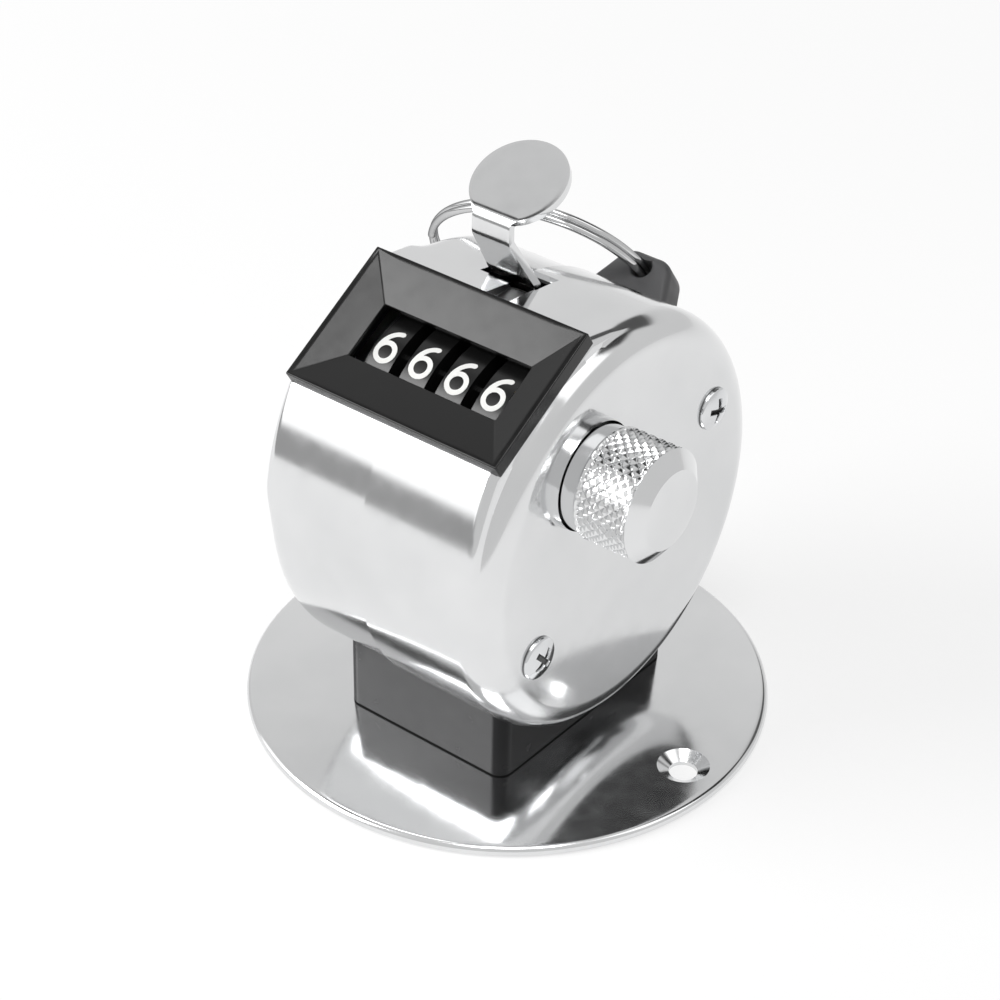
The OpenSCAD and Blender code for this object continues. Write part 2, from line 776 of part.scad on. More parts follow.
// Leaf on the right frame plate that holds the ratchet at each number
module detent_leaf() color("khaki") translate([0, axis_y, axis_z]) {
    slab_x(ratchet_x, ratchet_x + ratchet_w) rotate(detent_dir) translate([pawl_tip_r, -detent_tip])
        square([leaf_t, detent_len]);
    slab_x(ratchet_x, frame_x) rotate(detent_dir) translate([pawl_tip_r, detent_tip])
        square(detent_foot);
}

// Leaf that pushes the lever back up, fixed to the rear tie post
module return_leaf() color("khaki") slab_x(seam_x - return_w / 2, seam_x + return_w / 2) polygon([
    [post_y - post_r - leaf_t, post_z - return_foot / 2],
    [post_y - post_r, post_z - return_foot / 2],
    [post_y - post_r, post_z + return_foot / 2],
    [yoke_y + lever_t / 2 + return_gap, yoke_z + return_tip[0]],
    [yoke_y + lever_t / 2 + return_gap, yoke_z + return_tip[1]],
    [post_y - post_r - leaf_t, post_z + return_foot / 2 - leaf_t]
]);

// Lug directions: X, round the drum, and away from the drum axis
module at_lug() {
    translate([lug_x, 0, drum_z]) rotate([-lug_angle, 0, 0]) children();
}

// Black moulded lug for the finger ring, held by a foot inside the shells
module ring_lug() color("dimgray") at_lug() difference() {
    union() {
        translate([0, lug_t / 2, 0]) rotate([90, 0, 0]) linear_extrude(lug_t) lug_outline();
        box([-lug_w / 2 - lug_foot_lip, -lug_t / 2 - lug_foot_lip, lug_foot_r - lug_foot_t],
            [lug_w / 2 + lug_foot_lip, lug_t / 2 + lug_foot_lip, lug_foot_r]);
    }
    translate([0, lug_t / 2 + lap, lug_hole_at]) rotate([90, 0, 0]) cylinder(r = lug_hole_r, h = lug_t + 2 * lap);
}

// Outline of the lug: straight foot, sloping flanks that run into two round corners
module lug_outline() {
    corner_at = drum_r + lug_h - lug_corner;
    run = lug_w / 2 - lug_corner_x;
    fall = drum_r - corner_at;
    touch = atan2(fall, run) + acos(lug_corner / norm([run, fall]));
    touch_x = lug_corner_x + lug_corner * cos(touch);
    touch_y = corner_at + lug_corner * sin(touch);
    for (side = [-1, 1])
        translate([side * lug_corner_x, corner_at]) circle(lug_corner);
    translate([-lug_corner_x, corner_at]) square([2 * lug_corner_x, lug_corner]);
    polygon([
        [-lug_w / 2, lug_foot_r - lug_foot_t / 2],
        [lug_w / 2, lug_foot_r - lug_foot_t / 2],
        [lug_w / 2, drum_r],
        [touch_x, touch_y],
        [-touch_x, touch_y],
        [-lug_w / 2, drum_r]
    ]);
}

// Chrome split ring of two coils through the lug
module finger_ring() color("silver") at_lug() translate([0, 0, lug_hole_at])
    rotate([0, -ring_droop, 0]) translate([-ring_r, 0, 0]) rotate_extrude() translate([ring_r, 0]) {
        for (side = [-1, 1])
            translate([0, side * coil_step]) circle(wire_r);
        square([wire_r, 2 * coil_step], center = true);
    }

// Every sub-part of the counter

// Which sub-part to draw

base_plate();
plinth();
base_screws();
nut_bar();
left_shell();
right_shell();
cover_screws();
bezel();
left_frame();
right_frame();
tie_posts();
shaft_bushes();
reset_shaft();
shaft_clip();
reset_knob();
units_wheel();
tens_wheel();
hundreds_wheel();
thousands_wheel();
units_catch();
tens_catch();
hundreds_catch();
thousands_catch();
units_ratchet();
tens_pinion();
hundreds_pinion();
thousands_pinion();
pinion_rod();
thumb_lever();
pawl_pin();
drive_pawl();
detent_leaf();
return_leaf();
ring_lug();
finger_ring();
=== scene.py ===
import bmesh
import bpy
import numpy as np
from mathutils import Matrix, Vector


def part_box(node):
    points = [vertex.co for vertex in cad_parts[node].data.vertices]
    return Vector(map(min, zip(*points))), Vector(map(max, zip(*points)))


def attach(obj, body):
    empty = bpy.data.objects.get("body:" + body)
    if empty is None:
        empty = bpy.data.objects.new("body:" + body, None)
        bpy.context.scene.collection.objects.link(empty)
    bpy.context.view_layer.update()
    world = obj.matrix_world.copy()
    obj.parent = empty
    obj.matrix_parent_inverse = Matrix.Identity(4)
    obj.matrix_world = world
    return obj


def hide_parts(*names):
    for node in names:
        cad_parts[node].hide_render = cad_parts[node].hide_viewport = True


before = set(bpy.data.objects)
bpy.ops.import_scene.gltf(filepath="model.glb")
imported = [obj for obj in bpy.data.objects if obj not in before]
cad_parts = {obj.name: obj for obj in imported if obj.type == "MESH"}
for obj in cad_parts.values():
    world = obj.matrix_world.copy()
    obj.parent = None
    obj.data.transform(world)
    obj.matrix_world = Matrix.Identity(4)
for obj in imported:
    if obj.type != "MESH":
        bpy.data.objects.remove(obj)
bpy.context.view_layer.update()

# Base plate
# A round plate blanked from steel sheet with a rolled edge and two countersunk holes for desk screws.
# It is polished and chrome plated, so it mirrors the plinth that stands on it.
MM = 0.001
MERGE = 1e-7


def box_mm(node):
    """Lowest and highest corner of a frame node, in millimetres."""
    low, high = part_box(node)
    return np.array(low) / MM, np.array(high) / MM


def surface_marks():
    """Node group with three patterns in the piece's own coordinates, each from 0 to 1: soft clouds, fine
    grain, and hairlines, which are noise squeezed along one direction."""
    group = bpy.data.node_groups.new("surface_marks", "ShaderNodeTree")
    for name, value in (("Cloud Scale", 90.0), ("Grain Scale", 2500.0), ("Hairline Scale", 500.0)):
        socket = group.interface.new_socket(name, in_out="INPUT", socket_type="NodeSocketFloat")
        socket.default_value = value
    along = group.interface.new_socket("Hairline Stretch", in_out="INPUT", socket_type="NodeSocketVector")
    along.default_value = (1.0, 1.0, 1.0)
    for name in ("Clouds", "Grain", "Hairlines"):
        group.interface.new_socket(name, in_out="OUTPUT", socket_type="NodeSocketFloat")
    nodes = group.nodes
    links = group.links
    inputs = nodes.new("NodeGroupInput")
    outputs = nodes.new("NodeGroupOutput")
    place = nodes.new("ShaderNodeTexCoord")
    stretch = nodes.new("ShaderNodeVectorMath")
    stretch.operation = "MULTIPLY"
    links.new(place.outputs["Object"], stretch.inputs[0])
    links.new(inputs.outputs["Hairline Stretch"], stretch.inputs[1])
    for name, scale, vector, detail in (
        ("Clouds", "Cloud Scale", place.outputs["Object"], 3.0),
        ("Grain", "Grain Scale", place.outputs["Object"], 2.0),
        ("Hairlines", "Hairline Scale", stretch.outputs["Vector"], 4.0),
    ):
        noise = nodes.new("ShaderNodeTexNoise")
        noise.inputs["Detail"].default_value = detail
        links.new(vector, noise.inputs["Vector"])
        links.new(inputs.outputs[scale], noise.inputs["Scale"])
        links.new(noise.outputs["Fac"], outputs.inputs[name])
    return group


marks_group = surface_marks()
noise_low = 0.3
noise_high = 0.7


def finish(name, dark, light, smooth, rough, bump, metallic=1.0, clouds=90.0, grain=2500.0,
           stretch=(1.0, 1.0, 1.0), gloss=0.5):
    """Material whose colour runs from dark to light with the clouds, whose roughness runs from smooth to
    rough with the hairlines, and whose bump of the given depth in millimetres follows the grain."""
    material = bpy.data.materials.new(name)
    material.use_nodes = True
    nodes = material.node_tree.nodes
    links = material.node_tree.links
    shader = nodes["Principled BSDF"]
    shader.inputs["Metallic"].default_value = metallic
    shader.inputs["Specular IOR Level"].default_value = gloss
    marks = nodes.new("ShaderNodeGroup")
    marks.node_tree = marks_group
    marks.inputs["Cloud Scale"].default_value = clouds
    marks.inputs["Grain Scale"].default_value = grain
    marks.inputs["Hairline Stretch"].default_value = stretch
    tone = nodes.new("ShaderNodeValToRGB")
    for element, position, colour in zip(tone.color_ramp.elements, (noise_low, noise_high), (dark, light)):
        element.position = position
        element.color = (*colour, 1.0)
    links.new(marks.outputs["Clouds"], tone.inputs["Fac"])
    links.new(tone.outputs["Color"], shader.inputs["Base Color"])
    sheen = nodes.new("ShaderNodeMapRange")
    limits = (("From Min", noise_low), ("From Max", noise_high), ("To Min", smooth), ("To Max", rough))
    for limit, value in limits:
        sheen.inputs[limit].default_value = value
    links.new(marks.outputs["Hairlines"], sheen.inputs["Value"])
    links.new(sheen.outputs["Result"], shader.inputs["Roughness"])
    relief = nodes.new("ShaderNodeBump")
    relief.inputs["Distance"].default_value = bump * MM
    links.new(marks.outputs["Grain"], relief.inputs["Height"])
    links.new(relief.outputs["Normal"], shader.inputs["Normal"])
    return material


def chrome(name, smooth, rough, bump, grain):
    """Bright plating over polished steel, with the roughness and grain of one piece."""
    return finish(name, (0.72, 0.725, 0.73), (0.78, 0.783, 0.787), smooth, rough, bump, grain=grain)


def dress(material, *node_names):
    """Puts a material on frame nodes that are shown as they are."""
    for node_name in node_names:
        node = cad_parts[node_name]
        node.data.materials.clear()
        node.data.materials.append(material)


plate_chrome = chrome("plate_chrome", smooth=0.1, rough=0.16, bump=0.0001, grain=1800.0)
plate_bow = 1.25


def reckon(tree, kind, operation, *values):
    """Adds a maths node; each value is a plain number or another node's output. Returns its output."""
    node = tree.nodes.new(kind)
    node.operation = operation
    for socket, value in zip(node.inputs, values):
        if isinstance(value, bpy.types.NodeSocket):
            tree.links.new(value, socket)
        else:
            socket.default_value = value
    return next(output for output in node.outputs if output.enabled)


def ramp(tree, value, start, end, low=0.0, high=1.0):
    """Runs smoothly from low to high while a value runs from start to end."""
    node = tree.nodes.new("ShaderNodeMapRange")
    node.interpolation_type = "SMOOTHSTEP"
    for name, limit in (("From Min", start), ("From Max", end), ("To Min", low), ("To Max", high)):
        node.inputs[name].default_value = limit
    tree.links.new(value, node.inputs["Value"])
    return node.outputs["Result"]


def bowed(material, bow):
    """Tilts the surface outwards in step with the distance from the Z axis, as on a sheet bowed a little in
    the press: the bump's height is the square of that distance times the bow, falling outwards."""
    tree = material.node_tree
    place = tree.nodes.new("ShaderNodeTexCoord").outputs["Object"]
    level = reckon(tree, "ShaderNodeVectorMath", "MULTIPLY", place, (1.0, 1.0, 0.0))
    square = reckon(tree, "ShaderNodeVectorMath", "DOT_PRODUCT", level, level)
    fall = tree.nodes.new("ShaderNodeBump")
    fall.invert = True
    fall.inputs["Distance"].default_value = bow
    tree.links.new(square, fall.inputs["Height"])
    tree.links.new(fall.outputs["Normal"], tree.nodes["Bump"].inputs["Normal"])


def grid_faces(rows, columns, wrap_rows=False, wrap_columns=False):
    """Quads of a grid of points numbered row by row; a wrapped direction closes on itself."""
    row, column = np.meshgrid(
        np.arange(rows if wrap_rows else rows - 1),
        np.arange(columns if wrap_columns else columns - 1), indexing="ij")
    next_row = (row + 1) % rows
    next_column = (column + 1) % columns
    corners = (row * columns + column, next_row * columns + column,
               next_row * columns + next_column, row * columns + next_column)
    return np.stack(corners, axis=-1).reshape(-1, 4)


def full_turn(count):
    """Angles round a full turn in equal steps; the last step leads back to the first angle."""
    return np.arange(count) * 2 * np.pi / count


def join(parts):
    """One point array and one face array from several (points, faces) pairs, faces renumbered."""
    points = []
    faces = []
    count = 0
    for part_points, part_faces in parts:
        points.append(part_points.reshape(-1, 3))
        faces.append(part_faces + count)
        count += len(points[-1])
    return np.concatenate(points), np.concatenate(faces)


def add_piece(name, points, faces, material, body, sharp=40.0):
    """Mesh object from points in millimetres. Faces are turned outwards by the sign of the volume seen from
    the middle, seams and poles are merged, and edges sharper than the given angle stay sharp."""
    arms = points[faces] - points.mean(axis=0)
    volume = np.einsum("ij,ij->", arms[:, 0], np.cross(arms[:, 1], arms[:, 2]))
    volume += np.einsum("ij,ij->", arms[:, 0], np.cross(arms[:, 2], arms[:, 3]))
    if volume < 0.0:
        faces = faces[:, ::-1]
    mesh = bpy.data.meshes.new(name)
    mesh.from_pydata((points * MM).tolist(), [], faces.tolist())
    work = bmesh.new()
    work.from_mesh(mesh)
    bmesh.ops.remove_doubles(work, verts=work.verts, dist=MERGE)
    work.to_mesh(mesh)
    work.free()
    mesh.shade_smooth()
    mesh.set_sharp_from_angle(angle=np.radians(sharp))
    mesh.materials.append(material)
    piece = bpy.data.objects.new(name, mesh)
    bpy.context.scene.collection.objects.link(piece)
    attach(piece, body)
    return piece


plate_high = box_mm("base_plate")[1]
plate_r = plate_high[0]
plate_t = plate_high[2]
plate_turns = 288
mount_at = 23.3
mount_r = 1.5
mount_sink_r = 2.75
mount_sink = 0.75
mount_field = (19.6, 27.0)
mount_spread = 8
screw_at = 9.0
screw_hole_r = 1.35
screw_sink_r = 2.6
screw_field = (5.5, 12.5)
screw_spread = 24
middle_ring = 2.5
between_ring = 16.0
screw_rings = 4
mount_rings = 9
rim_steps = 17


def plate_hole(columns, field, distance, turn, steps):
    """Rows of the plate taken out round a hole, and the surface in their place: from the edge of the field on
    the top in to the hole, down its steps of radius and height, and out again on the underside."""
    rows = np.flatnonzero((plate_rings >= field[0]) & (plate_rings <= field[1]))
    near, far = plate_rings[rows[0]], plate_rings[rows[-1]]
    swing = np.concatenate([columns, np.full(len(rows) - 2, columns[-1]), columns[::-1],
                            np.full(len(rows) - 2, columns[0])]) * 2 * np.pi / plate_turns
    ring = np.concatenate([np.full(len(columns), near), plate_rings[rows[1:-1]], np.full(len(columns), far),
                           plate_rings[rows[1:-1]][::-1]])
    edge = np.stack([ring * np.cos(swing), ring * np.sin(swing)], axis=-1)
    middle = distance * np.array([np.cos(turn), np.sin(turn)])
    ray = (edge - middle) / np.linalg.norm(edge - middle, axis=1)[:, None]
    loops = [(edge, plate_t), *((middle + radius * ray, height) for radius, height in steps), (edge, 0.0)]
    points = np.stack([np.column_stack([flat, np.full(len(flat), height)]) for flat, height in loops])
    return rows, (points, grid_faces(len(loops), len(edge), wrap_columns=True))


plate_rings = np.unique(np.concatenate([
    [0.0, middle_ring], np.linspace(*screw_field, screw_rings), [between_ring],
    np.linspace(*mount_field, mount_rings), [plate_r - plate_t / 2],
]))
rim_swing = np.linspace(0.0, np.pi, rim_steps)[1:-1]
plate_reach = np.concatenate([plate_rings, plate_rings[-1] + plate_t / 2 * np.sin(rim_swing),
                              plate_rings[::-1]])
plate_height = np.concatenate([np.full(len(plate_rings), plate_t), plate_t / 2 * (1.0 + np.cos(rim_swing)),
                               np.zeros(len(plate_rings))])
plate_turn = full_turn(plate_turns)
plate_grid = np.stack([plate_reach[:, None] * np.cos(plate_turn), plate_reach[:, None] * np.sin(plate_turn),
                       np.repeat(plate_height[:, None], plate_turns, axis=1)], axis=-1)
plate_cells = grid_faces(len(plate_reach), plate_turns, wrap_columns=True).reshape(-1, plate_turns, 4)
plate_kept = np.ones(plate_cells.shape[:2], bool)
plate_parts = []
mount_steps = ((mount_sink_r, plate_t), (mount_r, plate_t - mount_sink), (mount_r, 0.0))
screw_steps = ((screw_hole_r, plate_t), (screw_sink_r, 0.0))
for quarter in range(4):
    across = quarter % 2
    spread = (mount_spread, screw_spread)[across]
    start = quarter * plate_turns // 4
    columns = np.arange(start - spread, start + spread + 1)
    rows, patch = plate_hole(columns, (mount_field, screw_field)[across], (mount_at, screw_at)[across],
                             quarter * np.pi / 2, (mount_steps, screw_steps)[across])
    for top_row in rows[:-1]:
        plate_kept[top_row, columns[:-1] % plate_turns] = False
        plate_kept[-1 - top_row, columns[:-1] % plate_turns] = False
    plate_parts.append(patch)
plate_points, plate_faces = join([(plate_grid, plate_cells[plate_kept]), *plate_parts])
bowed(plate_chrome, plate_bow)
plate = add_piece("round_plate", plate_points, plate_faces, plate_chrome, "counter_body", sharp=30.0)
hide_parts("base_plate")

# Plinth
# A black moulded block with a saddle that the drum sits in, clamped between drum and plate.
# Its walls are smooth satin plastic with a fine grain; a thin band at the foot is painted dark as shade.
moulding_black = finish("black_moulding", (0.022, 0.022, 0.023), (0.026, 0.026, 0.027), smooth=0.2,
                        rough=0.28, bump=0.0003, metallic=0.0, clouds=40.0, grain=3500.0, gloss=0.14)
# Painted shade: a band just above the plate, near black and rough, for the shade where the block meets it.
foot_shade_band = (0.12, 0.3)
foot_shade_tone = 0.001
foot_rough = 0.8


def own_distance(tree, axis):
    """Distance along an axis in the piece's own coordinates."""
    place = tree.nodes.new("ShaderNodeTexCoord").outputs["Object"]
    return reckon(tree, "ShaderNodeVectorMath", "DOT_PRODUCT", place, axis)


def paint_shade_where(material, share, tone, rough):
    """Paints shade into a finish: takes it to a dark tone and a higher roughness where a share goes to 1."""
    tree = material.node_tree
    shader = tree.nodes["Principled BSDF"]
    changes = (("Base Color", "RGBA", (tone, tone, tone, 1.0)), ("Roughness", "FLOAT", rough))
    for name, kind, value in changes:
        mix = tree.nodes.new("ShaderNodeMix")
        mix.data_type = kind
        factor, first, second = [socket for socket in mix.inputs if socket.enabled]
        tree.links.new(share, factor)
        tree.links.new(shader.inputs[name].links[0].from_socket, first)
        second.default_value = value
        tree.links.new(next(output for output in mix.outputs if output.enabled), shader.inputs[name])


plinth_tree = moulding_black.node_tree
plinth_up = own_distance(plinth_tree, (0.0, 0.0, 1.0))
in_foot_shade = ramp(plinth_tree, plinth_up, (plate_t + foot_shade_band[1]) * MM, (plate_t + foot_shade_band[0]) * MM)
paint_shade_where(moulding_black, in_foot_shade, foot_shade_tone, foot_rough)
dress(moulding_black, "plinth")

# Base screws and nut bar
# Two countersunk steel screws from under the plate, threaded into a flat steel bar inside the drum.
# They are zinc plated and slightly cloudy.
screw_steel = finish("screw_steel", (0.62, 0.63, 0.64), (0.78, 0.78, 0.79), smooth=0.12, rough=0.28,
                     bump=0.001)
dress(screw_steel, "base_screws", "nut_bar")

# Frame
# Two steel side plates tied by turned posts, with brass bushes for the reset shaft.
# The plates are blanked and tumbled; the bushes, pinions, ratchet and pawl are plain brass.
frame_steel = finish("frame_steel", (0.42, 0.42, 0.43), (0.58, 0.58, 0.58), smooth=0.25, rough=0.5,
                     bump=0.002, stretch=(1.0, 0.08, 1.0))
dress(frame_steel, "left_frame", "right_frame", "tie_posts", "reset_shaft", "shaft_clip", "pinion_rod",
      "pawl_pin")
brass = finish("brass", (0.62, 0.42, 0.16), (0.78, 0.56, 0.25), smooth=0.18, rough=0.36, bump=0.001)
dress(brass, "shaft_bushes", "units_ratchet", "tens_pinion", "hundreds_pinion", "thousands_pinion",
      "drive_pawl")
spring_steel = finish("spring_steel", (0.33, 0.35, 0.40), (0.50, 0.51, 0.54), smooth=0.15, rough=0.3,
                      bump=0.001)
dress(spring_steel, "units_catch", "tens_catch", "hundreds_catch", "thousands_catch", "detent_leaf",
      "return_leaf")

# Number wheels
# Four black moulded wheels on the reset shaft, each with the numbers 0 to 9 printed in white round its rim.
# The numbers are round-ended strokes a few hundredths of a millimetre thick.
wheel_black = finish("wheel_black", (0.006, 0.006, 0.006), (0.009, 0.009, 0.009), smooth=0.2, rough=0.26,
                     bump=0.0006, metallic=0.0, grain=3000.0)
number_white = finish("number_white", (0.80, 0.80, 0.78), (0.90, 0.90, 0.88), smooth=0.45, rough=0.6,
                      bump=0.003, metallic=0.0, grain=2600.0)


def arc(middle, across, up, start, end, count=20):
    """Points of an ellipse from one angle to another, in degrees."""
    angle = np.radians(np.linspace(start, end, count))
    return np.stack([middle[0] + across * np.cos(angle), middle[1] + up * np.sin(angle)], axis=-1)


def line(*corners):
    """Points of a straight stroke."""
    return np.array(corners, float)


# The strokes of each number lie round its middle and are measured in number heights
number_top = 0.43
number_foot = -0.43
zero = (arc((0.0, 0.0), across=0.26, up=number_top, start=0, end=360, count=48),)
one = (
    line((0.03, number_foot), (0.03, number_top)),
    line((0.03, number_top), (-0.17, 0.28)),
)
two = (
    np.concatenate([arc((0.0, 0.19), across=0.25, up=0.24, start=165, end=-38), line((-0.25, number_foot))]),
    line((-0.25, number_foot), (0.27, number_foot)),
)
three = (
    arc((0.0, 0.21), across=0.22, up=0.22, start=150, end=-90),
    arc((0.0, -0.22), across=0.25, up=0.21, start=90, end=-150),
)
four = (
    line((0.12, number_top), (-0.28, -0.18)),
    line((-0.28, -0.18), (0.29, -0.18)),
    line((0.12, number_top), (0.12, number_foot)),
)
five = (
    line((0.22, number_top), (-0.17, number_top)),
    line((-0.17, number_top), (-0.21, 0.02)),
    arc((-0.01, -0.15), across=0.27, up=0.28, start=140, end=-140),
)
six = (
    arc((0.0, -0.17), across=0.26, up=0.26, start=0, end=360, count=40),
    arc((0.18, -0.17), across=0.44, up=0.60, start=180, end=92),
)
seven = (
    line((-0.27, number_top), (0.27, number_top)),
    line((0.27, number_top), (-0.08, number_foot)),
)
eight = (
    arc((0.0, 0.215), across=0.21, up=0.215, start=0, end=360, count=36),
    arc((0.0, -0.2), across=0.25, up=0.23, start=0, end=360, count=40),
)
nine = (
    arc((0.0, 0.17), across=0.26, up=0.26, start=0, end=360, count=40),
    arc((-0.18, 0.17), across=0.44, up=0.60, start=0, end=-88),
)
number_strokes = (zero, one, two, three, four, five, six, seven, eight, nine)
number_height = 3.9
number_half = 0.27
number_lift = 0.03
number_step = 0.004
number_round = 6
rim_width = 3.1
catch_in = 0.2
shown_number = 6
reading_angle = np.radians(31.5)


def stroke_ribbon(path, low, high):
    """Flat ribbon along a path: four lines run beside it at half its width on either side, low and high, and
    at an open end the half width follows a half round to nothing."""
    closed = np.allclose(path[0], path[-1])
    half = np.full(len(path), number_half)
    if not closed:
        swing = np.linspace(0.0, np.pi / 2, number_round)[1:]
        ahead = number_half * np.sin(swing)
        start = (path[0] - path[1]) / np.linalg.norm(path[0] - path[1])
        end = (path[-1] - path[-2]) / np.linalg.norm(path[-1] - path[-2])
        tail = path[0] + start * ahead[::-1, None]
        head = path[-1] + end * ahead[:, None]
        narrow = number_half * np.cos(swing)
        path = np.concatenate([tail, path, head])
        half = np.concatenate([narrow[::-1], half, narrow])
    slope = np.gradient(path, axis=0)
    if closed:
        slope[0] = path[1] - path[-2]
        slope[-1] = slope[0]
    slope /= np.linalg.norm(slope, axis=1)[:, None]
    side = np.stack([-slope[:, 1], slope[:, 0]], axis=-1) * half[:, None]
    lines = ((path - side, low), (path - side, high), (path + side, high), (path + side, low))
    rows = [np.column_stack([edge, np.full(len(path), height)]) for edge, height in lines]
    return np.stack(rows, axis=1), grid_faces(len(path), len(lines), wrap_columns=True)


def wheel_numbers(middle_x, axis_y, axis_z, radius):
    """All ten numbers wrapped round a wheel: across becomes X, up the number becomes an angle round the axis,
    and each number stands a tenth of a turn from the last."""
    parts = []
    for number, strokes in enumerate(number_strokes):
        angle = reading_angle - (number - shown_number) * 2 * np.pi / len(number_strokes)
        for layer, stroke in enumerate(strokes):
            lift = number_lift + layer * number_step
            flat, faces = stroke_ribbon(stroke * number_height, -number_lift, lift)
            turn = angle - flat[..., 1] / radius
            reach = radius + flat[..., 2]
            wrapped = (middle_x + flat[..., 0], axis_y - reach * np.sin(turn), axis_z + reach * np.cos(turn))
            parts.append((np.stack(wrapped, axis=-1), faces))
    return join(parts)


for wheel in ("units", "tens", "hundreds", "thousands"):
    dress(wheel_black, wheel + "_wheel")
    catch_low = box_mm(wheel + "_catch")[0]
    wheel_low, wheel_high = box_mm(wheel + "_wheel")
    rim_left = catch_low[0] - catch_in
    axis_y, axis_z = (wheel_low[1:] + wheel_high[1:]) / 2
    wheel_r = (wheel_high[2] - wheel_low[2]) / 2
    points, faces = wheel_numbers(rim_left + rim_width / 2, axis_y, axis_z, wheel_r)
    add_piece(wheel + "_numbers", points, faces, number_white, wheel)

# Thumb lever
# A strip of steel sheet bent twice, with a round thumb disc at its end and a yoke inside the drum that turns
# on the reset shaft. It is polished and chrome plated, edges rounded.
lever_chrome = chrome("lever_chrome", smooth=0.1, rough=0.16, bump=0.0001, grain=1800.0)
shell_low, shell_high = box_mm("right_shell")
drum_r = shell_high[1]
drum_z = shell_low[2] + drum_r
side_x = shell_high[0]
seam_x = shell_low[0]
lever_low, lever_high = box_mm("thumb_lever")
lever_t = 0.8
lever_edge = 0.32
lever_aside = 0.22
lever_x = seam_x - lever_aside
stem_w = 5.8
stem_top_w = 4.6
stem_lean = np.radians(28.0)
stem_len = 6.8
stem_back = np.array([0.45, 0.0])
stem_jog = 1.0
yoke_foot = np.array([1.1, 22.4])
stem_foot = yoke_foot + stem_back
yoke_top = 2.2
yoke_low = 5.2
lever_neck = 2.1
disc_r = 5.05
disc_reach = 4.6
disc_rise = np.radians(27.0)
bend_r = 1.1
hub_radii = np.array([1.55, 2.6])
hub_steps = 49
arm_start = 2.4
arm_half = (1.6, 1.4)
arm_rows = 5
sheet_step = 0.6
sheet_columns = 15
disc_rows = 48
stem_up = np.array([-np.sin(stem_lean), np.cos(stem_lean)])
disc_along = np.array([np.cos(disc_rise), np.sin(disc_rise)])
lever_bend = yoke_foot + stem_len * stem_up
lever_crease = lever_bend + [0.0, lever_neck]


def rounded_path(corners, radius, count=8):
    """Polyline whose inner corners are replaced by arcs of one radius, tangent to both sides."""
    corners = np.asarray(corners, float)
    points = [corners[:1]]
    for before, corner, after in zip(corners[:-2], corners[1:-1], corners[2:]):
        into = (corner - before) / np.linalg.norm(corner - before)
        out = (after - corner) / np.linalg.norm(after - corner)
        turn = np.arctan2(into[0] * out[1] - into[1] * out[0], into @ out)
        cut = radius * np.tan(abs(turn) / 2)
        side = np.sign(turn) * np.array([-into[1], into[0]])
        middle = corner - into * cut + side * radius
        swing = np.linspace(0.0, turn, count)
        spoke = -side * radius
        points.append(middle + np.stack([spoke[0] * np.cos(swing) - spoke[1] * np.sin(swing),
                                         spoke[0] * np.sin(swing) + spoke[1] * np.cos(swing)], axis=-1))
    points.append(corners[-1:])
    return np.concatenate(points)


def lengths_along(path):
    """Length of a path from its start to each of its points."""
    return np.concatenate([[0.0], np.cumsum(np.linalg.norm(np.diff(path, axis=0), axis=1))])


def at_lengths(path, lengths):
    """Points of a path at given lengths from its start."""
    known = lengths_along(path)
    return np.stack([np.interp(lengths, known, path[:, 0]), np.interp(lengths, known, path[:, 1])], axis=-1)


def round_axis(x, reach, turn, y, z):
    """Points at a reach from a line along X through y and z, turned upwards from its rear side."""
    return np.stack(np.broadcast_arrays(x, y + reach * np.cos(turn), z + reach * np.sin(turn)), axis=-1)


def sheet_strip(path, left, right):
    """Flat sheet that follows a path in Y and Z and reaches from left to right in X at each point of it."""
    across = np.linspace(0.0, 1.0, sheet_columns)
    x = left[:, None] + (right - left)[:, None] * across
    y = np.repeat(path[:, :1], len(across), axis=1)
    z = np.repeat(path[:, 1:], len(across), axis=1) + drum_z
    return np.stack([x, y, z], axis=-1), grid_faces(len(path), len(across))


def lever_sheet():
    """Stem, neck and disc as one strip: the path runs up the stem, round both bends and along the disc, and
    the half width tapers on the stem, stays on the neck and follows the circle on the disc."""
    disc_end = lever_crease + (disc_reach + disc_r) * disc_along
    path = rounded_path([yoke_foot - yoke_low * stem_up, yoke_foot - stem_jog * stem_up, stem_foot,
                         lever_bend, lever_crease, disc_end], bend_r)
    length = lengths_along(path)
    path = at_lengths(path, np.unique(np.concatenate([length, np.arange(0.0, length[-2], sheet_step)])))
    disc_from = (path[-2] - lever_crease) @ disc_along
    swing = np.linspace(np.arccos((disc_reach - disc_from) / disc_r), np.pi, disc_rows)[1:]
    run = disc_reach - disc_r * np.cos(swing)
    path = np.concatenate([path[:-1], lever_crease + run[:, None] * disc_along])
    rise = np.interp(path[:, 1], [stem_foot[1], lever_bend[1]], [stem_w / 2, stem_top_w / 2])
    along = (path - lever_crease) @ disc_along
    circle = np.sqrt(np.maximum(disc_r ** 2 - (along - disc_reach) ** 2, 0.0))
    on_disc = (along > 0.0) & (path[:, 1] > lever_bend[1] + lever_neck / 2)
    half = np.where(on_disc, np.where(along < disc_reach, np.maximum(circle, rise), circle), rise)
    return sheet_strip(path, lever_x - half, lever_x + half)


